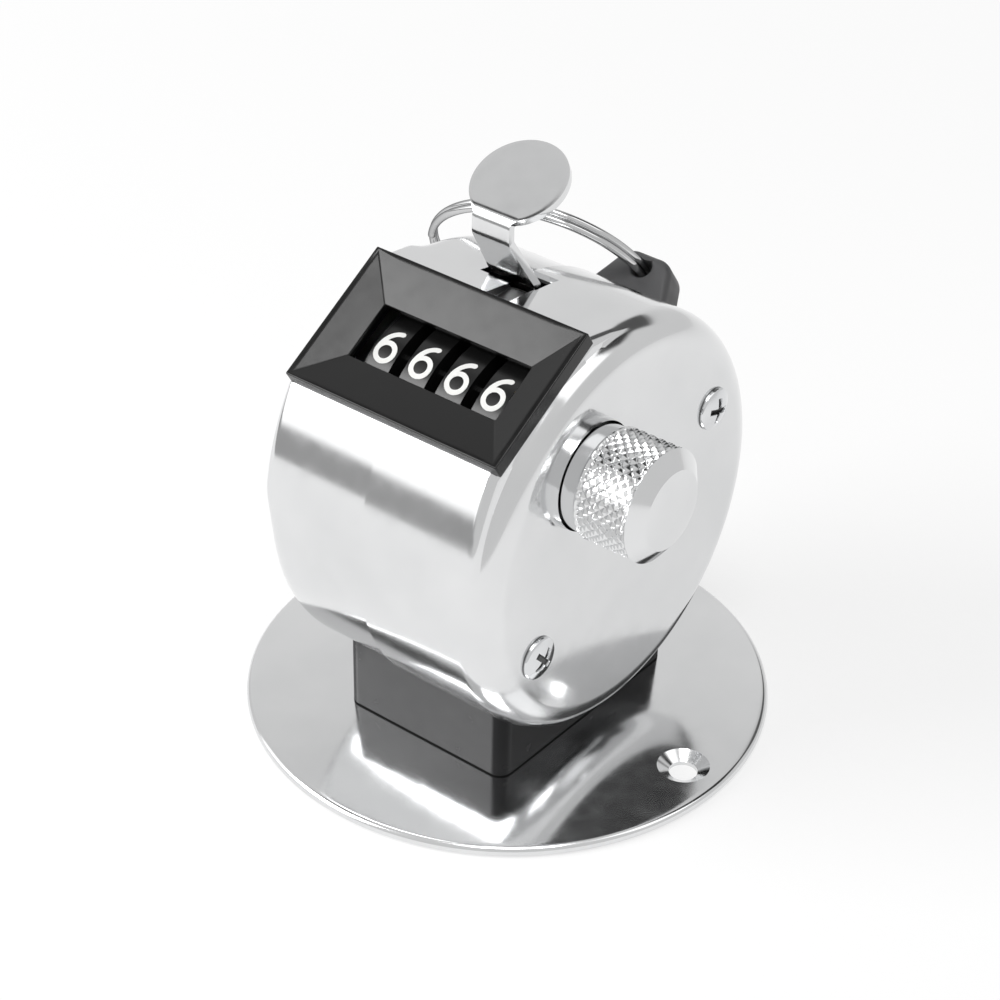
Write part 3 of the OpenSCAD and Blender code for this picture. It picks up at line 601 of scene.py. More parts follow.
def lever_arm(x):
    """Flat arm of the yoke: a ring round the shaft and a strip from it to the cross bar."""
    turn = np.linspace(0.0, 2 * np.pi, hub_steps)
    ring = round_axis(x, hub_radii[:, None], turn, axis_y, axis_z)
    bar_middle = yoke_foot - (yoke_top + yoke_low) / 2 * stem_up + [0.0, drum_z]
    hub = np.array([axis_y, axis_z])
    far = np.linalg.norm(bar_middle - hub)
    out = (bar_middle - hub) / far
    side = np.array([-out[1], out[0]])
    along = np.linspace(arm_start, far, arm_rows)[:, None, None]
    half = np.linspace(*arm_half, arm_rows)[:, None, None] * [[-1.0], [1.0]]
    flat = hub + along * out + half * side
    strip = np.concatenate([np.full((arm_rows, 2, 1), x), flat], axis=-1)
    return [(ring, grid_faces(2, hub_steps)), (strip, grid_faces(arm_rows, 2))]


def soften(piece, width, segments, angle=35.0):
    """Rounds every edge sharper than an angle, and lets the large faces keep their own normals."""
    bevel = piece.modifiers.new("rounded_edges", "BEVEL")
    bevel.width = width * MM
    bevel.segments = segments
    bevel.limit_method = "ANGLE"
    bevel.angle_limit = np.radians(angle)
    normals = piece.modifiers.new("face_normals", "WEIGHTED_NORMAL")
    normals.keep_sharp = True


def thicken(piece, thickness, offset):
    """Gives a sheet its thickness: offset -1 puts it all under the surface, 0 half on either side."""
    wall = piece.modifiers.new("sheet", "SOLIDIFY")
    wall.thickness = thickness * MM
    wall.offset = offset
    wall.use_even_offset = True


yoke_half = (lever_high[0] - lever_low[0]) / 2 - lever_t / 2
yoke_path = np.stack([yoke_foot - yoke_low * stem_up, yoke_foot - yoke_top * stem_up])
yoke_bar = sheet_strip(yoke_path, np.full(2, -yoke_half), np.full(2, yoke_half))
lever_parts = [lever_sheet(), yoke_bar, *lever_arm(-yoke_half), *lever_arm(yoke_half)]
lever_points, lever_faces = join(lever_parts)
lever = add_piece("lever_sheet", lever_points, lever_faces, lever_chrome, "lever", sharp=180.0)
thicken(lever, lever_t, offset=0.0)
soften(lever, lever_edge, segments=4)
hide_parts("thumb_lever")

# Left shell
# The cup that carries the frame, drawn from steel sheet, with a stepped neck that the right shell slides over
# and that is the floor of the lever's groove. Polished and chrome plated.
# The neck is rougher bare steel, and painted far darker than steel as the shade in the groove.
shell_polish = {"smooth": 0.1, "rough": 0.15, "bump": 0.0001, "grain": 1600.0}
left_chrome = chrome("left_chrome", **shell_polish)
left_r = box_mm("left_shell")[1][1]
shell_t = 0.6
shell_edge = 0.1
drum_fillet = 3.5
run_gap = 0.05
neck_r = drum_r - shell_t - run_gap
neck_len = 3.3
neck_shade_edge = (0.02, 0.05)
neck_shade_tone = 0.09
neck_rough = 0.42
rivet_proud = 0.03
bezel_tilt = np.radians(31.0)
seat_drop = 0.3
seat_n = drum_r - seat_drop
seat_half = 8.05
left_flank_end = np.radians(72.0)
right_flank_end = np.radians(59.0)
left_boss_half = 14.1
right_boss_half = 12.85
boss_round = 1.2
boss_fade = 0.35
boss_rows = 24
bend_rows = 14
opening_half = 10.2
opening_rear = 4.6
opening_front = -7.0
slot_left_w = 3.9
slot_right_w = 3.1
slot_left = seam_x - slot_left_w
slot_right = seam_x + slot_right_w
slot_front = 0.55
slot_rear = 4.3
neck_slot_more = 0.8
groove_half = 2.9
groove_front = -4.65
groove_corner = 1.0
groove_steps = 5
corner_lines = groove_corner * np.linspace(0.0, 1.0, groove_steps)
same_digits = 6
same_turn_digits = 7
side_rows = 6
top_half = np.radians(60.0)


def smooth_step(value, low, high):
    """Runs from 0 at low to 1 at high with level ends."""
    share = np.clip((value - low) / (high - low), 0.0, 1.0)
    return share * share * (3.0 - 2.0 * share)


def pad_radius(theta, radius, flank_end):
    """Radius of the drum's cross-section: flat bezel seat, a rear flank that runs off straight and a front
    flank that runs off as a wide arc, both tangent to the round, and the round itself."""
    turn = np.abs(theta - bezel_tilt)
    corner = np.arctan2(seat_half, seat_n)
    corner_r = np.hypot(seat_n, seat_half)
    rear_end = corner + np.arccos(radius / corner_r)
    rear = radius / np.cos(np.clip(rear_end - turn, 0.0, rear_end - corner))
    back = (corner_r ** 2 - radius ** 2) / (2.0 * (radius - corner_r * np.cos(flank_end - corner)))
    rest = np.clip(flank_end - turn, 0.0, flank_end - corner)
    front = np.sqrt((radius + back) ** 2 - (back * np.sin(rest)) ** 2) - back * np.cos(rest)
    flank = np.where(theta > bezel_tilt, front, rear)
    return np.where(turn < corner, seat_n / np.cos(np.minimum(turn, corner)), flank)


def cup_profile(radius, seam, side, lines, boss_half):
    """Half profile of a cup: straight from the seam with stations at the given lines, then a quarter round to
    the flat side. Gives X, radius and the share of the bezel pad, which itself ends in a quarter round."""
    out = np.sign(side - seam)
    straight = np.unique(np.round(np.concatenate([lines, [seam, side - out * drum_fillet]]), same_digits))
    straight = straight[::int(out)]
    boss_bend = np.arcsin((boss_half - side_x + drum_fillet) / drum_fillet)
    bend = np.concatenate([np.linspace(0.0, boss_bend, boss_rows)[1:],
                           np.linspace(boss_bend, np.pi / 2, bend_rows)[1:]])
    x = np.concatenate([straight, side - out * drum_fillet * (1.0 - np.sin(bend))])
    reach = np.concatenate([np.full(len(straight), radius), radius - drum_fillet * (1.0 - np.cos(bend))])
    past = np.clip((np.abs(x) - boss_half + boss_round) / boss_round, 0.0, 1.0)
    return x, reach, np.sqrt(1.0 - past ** 2)


def drum_turns(radius):
    """Angles round the drum from the top towards the front: every degree, and each edge of the cuts."""
    cuts_y = np.concatenate([[slot_front, slot_rear, groove_front], groove_front + corner_lines])
    cuts_slope = np.array([opening_rear, opening_front])
    return np.unique(np.round(np.concatenate([
        np.radians(np.arange(-180.0, 180.0)),
        np.arcsin(-cuts_y / radius),
        bezel_tilt - np.arctan2(cuts_slope, seat_n),
    ]), same_turn_digits))


def round_groove(x, theta, radius):
    """Moves the grid points on the two edges of the groove's front corner onto a quarter round."""
    corner_x = seam_x + groove_half
    y = -radius * np.sin(theta)
    from_side = corner_x - x
    from_front = y - groove_front
    near = 1e-4
    on_front = (np.abs(from_front) < near) & (from_side > -near) & (from_side < groove_corner)
    on_side = (np.abs(from_side) < near) & (from_front > -near) & (from_front < groove_corner)
    left = np.where(on_front, from_side, from_front) / groove_corner
    swing = np.radians(45.0) * (1.0 - left)
    swing = np.where(on_front, swing, np.pi / 2 - swing)
    inward_x = groove_corner * (1.0 - np.sin(swing))
    inward_y = groove_corner * (1.0 - np.cos(swing))
    on_edge = on_front | on_side
    x = np.where(on_edge, corner_x - inward_x, x)
    y = np.where(on_edge, groove_front + inward_y, y)
    return x, np.where(on_edge, np.arcsin(-y / radius), theta)


def between(value, low, high):
    """True where a value lies between two limits."""
    return (value > low) & (value < high)


def cut_cells(x, y, theta, grooved):
    """True where a cell lies in the bezel opening, the lever slot or the groove in front of the slot."""
    slope = seat_n * np.tan(np.clip(bezel_tilt - theta, -top_half, top_half))
    opening = between(x, -opening_half, opening_half) & between(slope, opening_front, opening_rear)
    on_neck = (not grooved) & (x > seam_x)
    slot = between(x, slot_left, slot_right) & between(y, slot_front, slot_rear + neck_slot_more * on_neck)
    groove = grooved & between(x, seam_x, seam_x + groove_half) & between(y, groove_front, slot_front)
    return opening | ((np.abs(theta) < top_half) & (slot | groove))


def drum_sheet(x, reach, share, radius, flank_end, grooved):
    """Grid of a cup: each station of the profile turned about the drum axis, raised to the pad by its share
    where the pad stands proud of the round. Returns the points and the faces left after the cuts."""
    theta = drum_turns(radius)
    xx, tt = np.meshgrid(x, theta, indexing="ij")
    flat_x, flat_t = xx, tt
    if grooved:
        xx, tt = round_groove(xx, tt, radius)
    pad = pad_radius(tt, radius, flank_end)
    on_seat = np.abs(tt - bezel_tilt) < np.arctan2(seat_half, seat_n)
    proud = np.where(on_seat, 1.0, smooth_step(pad - radius, 0.0, boss_fade))
    fill = radius - reach[:, None]
    rr = reach[:, None] + share[:, None] * (pad - radius + proud * fill)
    points = np.stack([xx, -rr * np.sin(tt), drum_z + rr * np.cos(tt)], axis=-1)
    faces = grid_faces(len(x), len(theta), wrap_columns=True)
    middle_x = flat_x.ravel()[faces].mean(axis=1)
    corner_t = flat_t.ravel()[faces]
    middle_t = np.where(np.ptp(corner_t, axis=1) > np.pi, np.pi, corner_t.mean(axis=1))
    return points, faces[~cut_cells(middle_x, -radius * np.sin(middle_t), middle_t, grooved)]


left_lines = np.array([slot_left, -opening_half])
left_x, left_reach, left_share = cup_profile(left_r, seam_x, -side_x, left_lines, left_boss_half)
neck_x = [seam_x + neck_len, seam_x]
side_steps = np.linspace(1.0, 0.0, side_rows)[1:]
left_x = np.concatenate([neck_x, left_x, np.full(len(side_steps), rivet_proud - side_x)])
left_reach = np.concatenate([np.full(len(neck_x), neck_r), left_reach, left_reach[-1] * side_steps])
left_share = np.pad(left_share, (len(neck_x), len(side_steps)))
left_points, left_faces = drum_sheet(left_x, left_reach, left_share, left_r, left_flank_end, grooved=False)
left_points = left_points.reshape(-1, 3)
# Painted shade on the neck past the seam: near black and rougher.
left_tree = left_chrome.node_tree
left_along = own_distance(left_tree, (1.0, 0.0, 0.0))
on_neck = ramp(left_tree, left_along, (seam_x + neck_shade_edge[0]) * MM, (seam_x + neck_shade_edge[1]) * MM)
paint_shade_where(left_chrome, on_neck, neck_shade_tone, neck_rough)
left_cover = add_piece("left_cup", left_points, left_faces, left_chrome, "counter_body", sharp=60.0)
thicken(left_cover, shell_t, offset=-1.0)
soften(left_cover, shell_edge, segments=2, angle=50.0)
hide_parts("left_shell")

# Right shell
# The removable cup on the knob side, drawn from the same sheet, with a clearance hole for the knob's neck.
# Two screws hold it to the tie posts.
shell_chrome = chrome("shell_chrome", **shell_polish)
knob_low, knob_high = box_mm("reset_knob")
knob_r = (knob_high[2] - knob_low[2]) / 2
knob_neck_cut = 0.35
knob_neck_r = knob_r - knob_neck_cut
knob_hole_gap = 0.18
knob_hole_r = knob_neck_r + knob_hole_gap
right_lines = np.concatenate([[slot_right, opening_half], seam_x + groove_half - corner_lines])
right_x, right_reach, right_share = cup_profile(drum_r, seam_x, side_x, right_lines, right_boss_half)
right_cup, right_faces = drum_sheet(right_x, right_reach, right_share, drum_r, right_flank_end, grooved=True)
rim_turn = drum_turns(drum_r)
hole_points = round_axis(side_x, knob_hole_r, rim_turn + np.pi / 2, axis_y, axis_z)
side_steps = np.linspace(0.0, 1.0, side_rows + 1)[:, None, None]
side_ring = right_cup[-1] * (1.0 - side_steps) + hole_points * side_steps
right_points, right_faces = join([
    (right_cup, right_faces),
    (side_ring, grid_faces(len(side_steps), len(rim_turn), wrap_columns=True)),
])
right_cover = add_piece("right_cup", right_points, right_faces, shell_chrome, "counter_body", sharp=60.0)
thicken(right_cover, shell_t, offset=-1.0)
soften(right_cover, shell_edge, segments=2, angle=50.0)
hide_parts("right_shell")

# Cover screws
# Two cross-headed pan screws that hold the right shell to the tie posts.
# They are bright zinc plated steel; the walls of the punched cross are dull, and painted dark as shade.
screw_bright = finish("screw_bright", (0.70, 0.71, 0.72), (0.82, 0.82, 0.83), smooth=0.08, rough=0.16,
                      bump=0.0008)
screw_low, screw_high = box_mm("cover_screws")
pan_r = 2.3
pan_ball_r = 5.0
pan_ball_in = 4.1
pan_edge = 0.18
pan_skirt = 0.1
pan_turns = 192
cross_half = 0.31
cross_reach = 1.35
cross_deep = 0.65
cross_rise = 0.55
cross_wall = 0.07
cross_turns = np.radians([42.0, 78.0])
cross_clear = 0.2
cross_field = cross_reach + cross_clear
cross_rows = 44
rim_gap = 0.05
rim_rows = 16
recess = (0.12, 0.3)
recess_shade_tone = 0.1
recess_rough = 0.35
shank_r = 1.25
shank_in = 0.2
shank_turns = 32


def pan_head(middle_y, middle_z, cross_turn):
    """Head of a screw as a height over a round: a flat ball with a rounded rim, less a cross whose arms get
    shallower outwards, and a straight skirt down to the cover."""
    reach = np.concatenate([np.linspace(0.0, cross_field, cross_rows),
                            np.linspace(cross_field + rim_gap, pan_r, rim_rows)])
    rr, tt = np.meshgrid(reach, full_turn(pan_turns), indexing="ij")
    along = rr * np.cos(tt - cross_turn)
    across = rr * np.sin(tt - cross_turn)
    ball = np.sqrt(pan_ball_r ** 2 - rr ** 2) - pan_ball_in
    rim = pan_edge * (1.0 - np.sqrt(1.0 - np.clip((rr - pan_r + pan_edge) / pan_edge, 0.0, 1.0) ** 2))
    one_arm = np.maximum(np.abs(across) - cross_half, np.abs(along) - cross_reach)
    other_arm = np.maximum(np.abs(along) - cross_half, np.abs(across) - cross_reach)
    inside = smooth_step(-np.minimum(one_arm, other_arm), 0.0, cross_wall)
    height = ball - rim - inside * cross_deep * (1.0 - cross_rise * rr / cross_reach)
    height = np.concatenate([height, np.full((2, pan_turns), -pan_skirt)])
    rr = np.concatenate([rr, np.repeat([[pan_r], [0.0]], pan_turns, axis=1)])
    tt = np.concatenate([tt, tt[:2]])
    return round_axis(side_x + height, rr, tt, middle_y, middle_z), grid_faces(*tt.shape, wrap_columns=True)


def screw_shank(middle_y, middle_z, start, end):
    """Plain shank as a turned profile, closed at both ends."""
    x = np.array([[start], [start], [end], [end]])
    reach = np.array([[0.0], [shank_r], [shank_r], [0.0]])
    points = round_axis(x, reach, full_turn(shank_turns), middle_y, middle_z)
    return points, grid_faces(len(x), shank_turns, wrap_columns=True)


screw_parts = []
screw_tree = screw_bright.node_tree
screw_middles = (screw_low[1:] + pan_r, screw_high[1:] - pan_r)
for middle, cross_turn in zip(screw_middles, cross_turns):
    screw_parts.append(pan_head(*middle, cross_turn))
    # Points deep in the cross are painted dark and rougher, as the shade in the recess.
    ball = np.array([side_x - pan_ball_in, *middle]) * MM
    screw_place = screw_tree.nodes.new("ShaderNodeTexCoord").outputs["Object"]
    from_ball = reckon(screw_tree, "ShaderNodeVectorMath", "DISTANCE", screw_place, ball)
    in_recess_shade = ramp(screw_tree, from_ball, (pan_ball_r - recess[0]) * MM, (pan_ball_r - recess[1]) * MM)
    paint_shade_where(screw_bright, in_recess_shade, recess_shade_tone, recess_rough)
    screw_parts.append(screw_shank(*middle, screw_low[0], side_x - shank_in))
screw_points, screw_faces = join(screw_parts)
cover_screws = add_piece("pan_screws", screw_points, screw_faces, screw_bright, "counter_body", sharp=50.0)
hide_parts("cover_screws")

# Bezel
# A black die-cast frame on the flat seat of the drum. Four facets fall from its narrow rim to the number
# window, and a skirt under it fits the opening in the shells. Stoved satin enamel.
bezel_black = finish("bezel_black", (0.004, 0.004, 0.004), (0.006, 0.006, 0.006), smooth=0.2, rough=0.27,
                     bump=0.0004, metallic=0.0, clouds=40.0, grain=3200.0, gloss=0.4)
bezel_half_w = 13.1
bezel_half_d = 8.0
bezel_t = 1.7
bezel_rim = 0.6
bezel_edge = 0.12
window_half_w = 9.15
window_half_d = 3.15
window_rise = 0.38
window_lip = 0.68
window_n = seat_n + window_rise
window_foot = window_n - window_lip
skirt_gap = 0.1
skirt_t = 0.7
skirt_deep = 1.3
skirt_foot = seat_n - skirt_deep
rim_n = seat_n + bezel_t


def window_loop(half_w, front, rear, steps=8):
    """Closed outline of a rectangle that lies even about the middle, every side in as many steps."""
    corners = np.array([[half_w, rear], [-half_w, rear], [-half_w, front], [half_w, front]])
    share = np.linspace(0.0, 1.0, steps + 1)[:-1, None]
    sides = corners[:, None] * (1.0 - share) + np.roll(corners, -1, axis=0)[:, None] * share
    return sides.reshape(-1, 2)


def on_bezel(flat, height):
    """Points from bezel directions (X, up the slope, off the drum) to the frame."""
    slope = flat[..., 1]
    y = slope * np.cos(bezel_tilt) - height * np.sin(bezel_tilt)
    z = drum_z + slope * np.sin(bezel_tilt) + height * np.cos(bezel_tilt)
    return np.stack([flat[..., 0], y, z], axis=-1)


skirt_out = (opening_half - skirt_gap, opening_front + skirt_gap, opening_rear - skirt_gap)
skirt_in = (opening_half - skirt_t, opening_front + skirt_t, opening_rear - skirt_t)
window_edge = (window_half_w, -window_half_d, window_half_d)
rim_in = (bezel_half_w - bezel_rim, bezel_rim - bezel_half_d, bezel_half_d - bezel_rim)
rim_out = (bezel_half_w, -bezel_half_d, bezel_half_d)
bezel_loops = (
    (window_edge, window_foot),
    (window_edge, window_n),
    (rim_in, rim_n),
    (rim_out, rim_n),
    (rim_out, seat_n),
    (skirt_out, seat_n),
    (skirt_out, skirt_foot),
    (skirt_in, skirt_foot),
    (skirt_in, window_foot),
)
bezel_points = np.stack([on_bezel(window_loop(*sides), height) for sides, height in bezel_loops])
bezel_faces = grid_faces(*bezel_points.shape[:2], wrap_rows=True, wrap_columns=True)
bezel_points = bezel_points.reshape(-1, 3)
bezel = add_piece("bezel_frame", bezel_points, bezel_faces, bezel_black, "counter_body", sharp=180.0)
soften(bezel, bezel_edge, segments=3, angle=20.0)
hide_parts("bezel")

# Reset knob
# A steel knob turned from bar and fixed on the reset shaft: smooth neck, barrel with a rolled diamond
# knurl, chamfered end with a slight dome. Chrome plated.
knob_chrome = chrome("knob_chrome", smooth=0.07, rough=0.15, bump=0.0002, grain=1800.0)
knob_start = knob_low[0]
knob_end = knob_high[0]
knob_gap = 0.35
knob_neck = 1.3
knob_flare = 0.35
knob_chamfer = 1.6
knob_neck_end = side_x + knob_gap + knob_neck
barrel_start = knob_neck_end + knob_flare
barrel_end = knob_end - knob_chamfer
barrel_lip = 0.02
knob_edge = 0.12
end_edge = 0.1
knob_end_r = 4.15
knob_dome = 0.35
dome_out = 0.9
dome_rows = 10
knurl_count = 34
knurl_deep = 0.30
knurl_fade = 0.3
knurl_samples = 12


def knurl(x, turn):
    """Height of the diamond knurl from 0 to 1: the lower of two saw waves that run round the barrel as
    opposite screws, so that a pyramid stands between the grooves."""
    round_share = knurl_count * turn / (2 * np.pi)
    along_share = (x - barrel_start) / knurl_pitch
    one = (round_share + along_share) % 1.0
    other = (round_share - along_share) % 1.0
    return np.minimum(1.0 - np.abs(2.0 * one - 1.0), 1.0 - np.abs(2.0 * other - 1.0))


knurl_pitch = 2 * np.pi * knob_r / knurl_count
barrel_rows = int((barrel_end - barrel_start) * knurl_samples / knurl_pitch)
barrel_x = np.linspace(barrel_start, barrel_end, barrel_rows)[1:-1]
dome_reach = np.linspace(dome_out, 0.0, dome_rows)
dome_points = np.stack([knob_end - knob_dome * dome_reach ** 2, knob_end_r * dome_reach], axis=-1)
knob_profile = np.concatenate([
    rounded_path([[knob_start, 0.0], [knob_start, knob_neck_r], [knob_neck_end, knob_neck_r],
                  [barrel_start, knob_r - barrel_lip]], knob_edge, count=5),
    np.stack([barrel_x, np.full(len(barrel_x), knob_r)], axis=-1),
    rounded_path([[barrel_end, knob_r], [knob_end - knob_dome, knob_end_r], *dome_points], end_edge, count=4),
])
knob_x, knob_t = np.meshgrid(knob_profile[:, 0], full_turn(knurl_count * knurl_samples), indexing="ij")
on_barrel = smooth_step(knob_x, barrel_start, barrel_start + knurl_fade)
on_barrel *= smooth_step(-knob_x, -barrel_end, knurl_fade - barrel_end)
knob_reach = knob_profile[:, 1:] - on_barrel * knurl_deep * (1.0 - knurl(knob_x, knob_t))
knob_points = round_axis(knob_x, knob_reach, knob_t + np.pi / 2, axis_y, axis_z)
knob_faces = grid_faces(*knob_x.shape, wrap_columns=True)
knob = add_piece("knurled_knob", knob_points.reshape(-1, 3), knob_faces, knob_chrome, "reset", sharp=30.0)
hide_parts("reset_knob")

# Ring lug
# A black moulded lug behind the lever, pierced for the finger ring.
# It is held by a foot inside the shells, and its edges are well rounded.
lug_grey = finish("lug_moulding", (0.05, 0.05, 0.052), (0.072, 0.072, 0.074), smooth=0.4, rough=0.55,
                  bump=0.004, metallic=0.0, grain=2200.0)
lug_x = 0.8
lug_angle = np.radians(55.5)
lug_w = 10.0
lug_t = 4.4
lug_h = 5.1
lug_corner = 2.2
lug_corner_x = 1.3
lug_hole_r = 1.1
lug_hole_in = 1.8
lug_hole_at = drum_r + lug_h - lug_hole_in
lug_hole_edge = 0.25
lug_foot = 19.7
lug_sink = 0.3
lug_edge = 0.9
lug_edge_rows = 6
lug_corner_steps = 16
lug_steps = 120


def at_lug(across, round_drum, out):
    """Points from lug directions (X, round the drum, away from its axis) to the frame."""
    y = round_drum * np.cos(lug_angle) + out * np.sin(lug_angle)
    z = drum_z - round_drum * np.sin(lug_angle) + out * np.cos(lug_angle)
    return np.stack([lug_x + across, y, z], axis=-1)


def lug_outline():
    """Outline of the lug: straight foot, sloping flanks, and two round corners at the top."""
    corner_at = drum_r + lug_h - lug_corner
    run = lug_w / 2 - lug_corner_x
    fall = drum_r - corner_at
    touch = np.arctan2(fall, run) + np.arccos(lug_corner / np.hypot(run, fall))
    swing = np.linspace(touch, np.pi / 2, lug_corner_steps)
    corner = lug_corner * np.stack([np.cos(swing), np.sin(swing)], axis=-1) + [lug_corner_x, corner_at]
    right = np.concatenate([[[lug_w / 2, lug_foot], [lug_w / 2, drum_r - lug_sink]], corner])
    left = right[::-1] * [-1.0, 1.0]
    path = np.concatenate([right, left, right[:1]])
    length = lengths_along(path)
    even = np.linspace(0.0, length[-1], lug_steps)[:-1]
    return at_lengths(path, np.unique(np.concatenate([even, length[:-1]])))


def lug_solid():
    """Closed band of loops: out from the hole along one face, round both edges of the outline, and back to
    the hole along the other face; each hole point lies on the same ray as its outline point."""
    outline = lug_outline()
    middle = np.array([0.0, lug_hole_at])
    ray = outline - middle
    ray /= np.linalg.norm(ray, axis=1)[:, None]
    hole = middle + ray * lug_hole_r
    swing = np.linspace(0.0, np.pi / 2, lug_edge_rows)
    inset = lug_edge * (1.0 - np.sin(swing))
    depth = lug_t / 2 - lug_edge * (1.0 - np.cos(swing))
    half = [(hole, lug_t / 2 - lug_hole_edge), (hole + ray * lug_hole_edge, lug_t / 2)]
    half += [(outline - ray * far_in, far_out) for far_in, far_out in zip(inset, depth)]
    loops = [(loop, -off) for loop, off in half] + half[::-1]
    points = np.stack([at_lug(loop[:, 0], np.full(len(loop), off), loop[:, 1]) for loop, off in loops])
    return points, grid_faces(*points.shape[:2], wrap_rows=True, wrap_columns=True)


lug_points, lug_faces = lug_solid()
lug = add_piece("moulded_lug", lug_points.reshape(-1, 3), lug_faces, lug_grey, "counter_body", sharp=50.0)
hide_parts("ring_lug")

# Finger ring
# A split ring wound from bright spring wire, two turns side by side with cut ends.
# It hangs loosely through the hole in the lug.
ring_chrome = finish("ring_chrome", (0.6, 0.603, 0.606), (0.68, 0.682, 0.685), smooth=0.05, rough=0.12,
                     bump=0.0002)
ring_edge = (0.2, 0.2, 0.205, 1.0)
ring_chrome.node_tree.nodes["Principled BSDF"].inputs["Specular Tint"].default_value = ring_edge
ring_r = 12.25
wire_r = 0.42
ring_droop = np.radians(15.0)
coil_step = 0.4
coil_change = (0.72, 1.28)
ring_start = np.radians(205.0)
ring_turns = 2.0
ring_rows = 289
wire_turns = 24
wire_end_rows = 6


def split_ring():
    """Wire carried along a screw of two turns: the middle line goes round the ring while it moves from one
    coil to the other, and a small round follows it; the ends are domed."""
    swing = np.linspace(0.0, ring_turns * 2 * np.pi, ring_rows)
    share = smooth_step(swing / (2 * np.pi), *coil_change)
    side = coil_step * (2.0 * share - 1.0)
    angle = ring_start + swing
    dome = np.linspace(0.0, np.pi / 2, wire_end_rows)[1:]
    ahead = wire_r * np.sin(dome) / ring_r
    angle = np.concatenate([angle[0] - ahead[::-1], angle, angle[-1] + ahead])
    side = np.pad(side, len(dome), mode="edge")
    reach = wire_r * np.concatenate([np.cos(dome)[::-1], np.ones(ring_rows), np.cos(dome)])
    turn = full_turn(wire_turns)
    radial = ring_r + reach[:, None] * np.cos(turn)
    off = side[:, None] + reach[:, None] * np.sin(turn)
    along = -ring_r + radial * np.cos(angle)[:, None]
    round_drum = radial * np.sin(angle)[:, None]
    across = along * np.cos(ring_droop) - off * np.sin(ring_droop)
    out = lug_hole_at + along * np.sin(ring_droop) + off * np.cos(ring_droop)
    return at_lug(across, round_drum, out), grid_faces(len(angle), len(turn), wrap_columns=True)


ring_points, ring_faces = split_ring()
ring = add_piece("split_ring", ring_points.reshape(-1, 3), ring_faces, ring_chrome, "ring", sharp=60.0)
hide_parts("finger_ring")

# Studio
# A pale floor that keeps the counter's shadow and, in the chrome, ends before a grey wall; a plain sky with
# soft cards for the chrome to mirror; and two soft lamps, a large one at the front left and one overhead.
scene = bpy.context.scene
scene.view_settings.view_transform = "Standard"


def mixed_shader(tree, share, first, second):
    """Shader that goes from the first to the second with a share."""
    node = tree.nodes.new("ShaderNodeMixShader")
    tree.links.new(share, node.inputs["Fac"])
    tree.links.new(first, node.inputs[1])
    tree.links.new(second, node.inputs[2])
    return node.outputs["Shader"]


floor_half = 1.5
floor_tone = (0.35, 0.35, 0.35, 1.0)
floor_rough = 0.9
floor_shine = 0.66
floor_fade = (0.12, 0.4)
paper_edge = -0.19
paper_soft = 0.004
wall_span = (-0.15, 0.06)
wall_tones = (0.38, 0.72)
floor_mesh = bpy.data.meshes.new("floor")
floor_corners = [(x * floor_half, y * floor_half, 0.0) for x, y in ((-1, -1), (1, -1), (1, 1), (-1, 1))]
floor_mesh.from_pydata(floor_corners, [], [(0, 1, 2, 3)])
floor = bpy.data.objects.new("floor", floor_mesh)
scene.collection.objects.link(floor)
floor_white = bpy.data.materials.new("floor_white")
floor_white.use_nodes = True
floor_tree = floor_white.node_tree
floor_shader = floor_tree.nodes["Principled BSDF"]
floor_shader.inputs["Base Color"].default_value = floor_tone
floor_shader.inputs["Roughness"].default_value = floor_rough
floor_shader.inputs["Specular IOR Level"].default_value = 0.0
floor_shader.inputs["Emission Color"].default_value = (1.0, 1.0, 1.0, 1.0)
floor_path = floor_tree.nodes.new("ShaderNodeLightPath")
floor_seen = reckon(floor_tree, "ShaderNodeMath", "MAXIMUM", floor_path.outputs["Is Camera Ray"],
                    floor_path.outputs["Is Glossy Ray"])
floor_seen = reckon(floor_tree, "ShaderNodeMath", "MAXIMUM", floor_seen,
                    floor_path.outputs["Is Transmission Ray"])
floor_glow = reckon(floor_tree, "ShaderNodeMath", "MULTIPLY", floor_seen, floor_shine)
floor_tree.links.new(floor_glow, floor_shader.inputs["Emission Strength"])
floor_place = floor_tree.nodes.new("ShaderNodeTexCoord").outputs["Object"]
floor_reach = reckon(floor_tree, "ShaderNodeVectorMath", "LENGTH", floor_place)
floor_far = reckon(floor_tree, "ShaderNodeMath", "MULTIPLY", floor_path.outputs["Is Camera Ray"],
                   ramp(floor_tree, floor_reach, *floor_fade))
far_white = floor_tree.nodes.new("ShaderNodeEmission")
floor_back = own_distance(floor_tree, (0.0, 1.0, 0.0))
paper_past = reckon(floor_tree, "ShaderNodeMath", "MULTIPLY", floor_path.outputs["Is Glossy Ray"],
                    ramp(floor_tree, floor_back, paper_edge + paper_soft, paper_edge - paper_soft))
wall_grey = floor_tree.nodes.new("ShaderNodeEmission")
wall_tone = ramp(floor_tree, own_distance(floor_tree, (1.0, 0.0, 0.0)), *wall_span, *wall_tones)
floor_tree.links.new(wall_tone, wall_grey.inputs["Strength"])
floor_mix = mixed_shader(floor_tree, paper_past, floor_shader.outputs["BSDF"], wall_grey.outputs["Emission"])
floor_mix = mixed_shader(floor_tree, floor_far, floor_mix, far_white.outputs["Emission"])
floor_tree.links.new(floor_mix, floor_tree.nodes["Material Output"].inputs["Surface"])
floor_mesh.materials.append(floor_white)

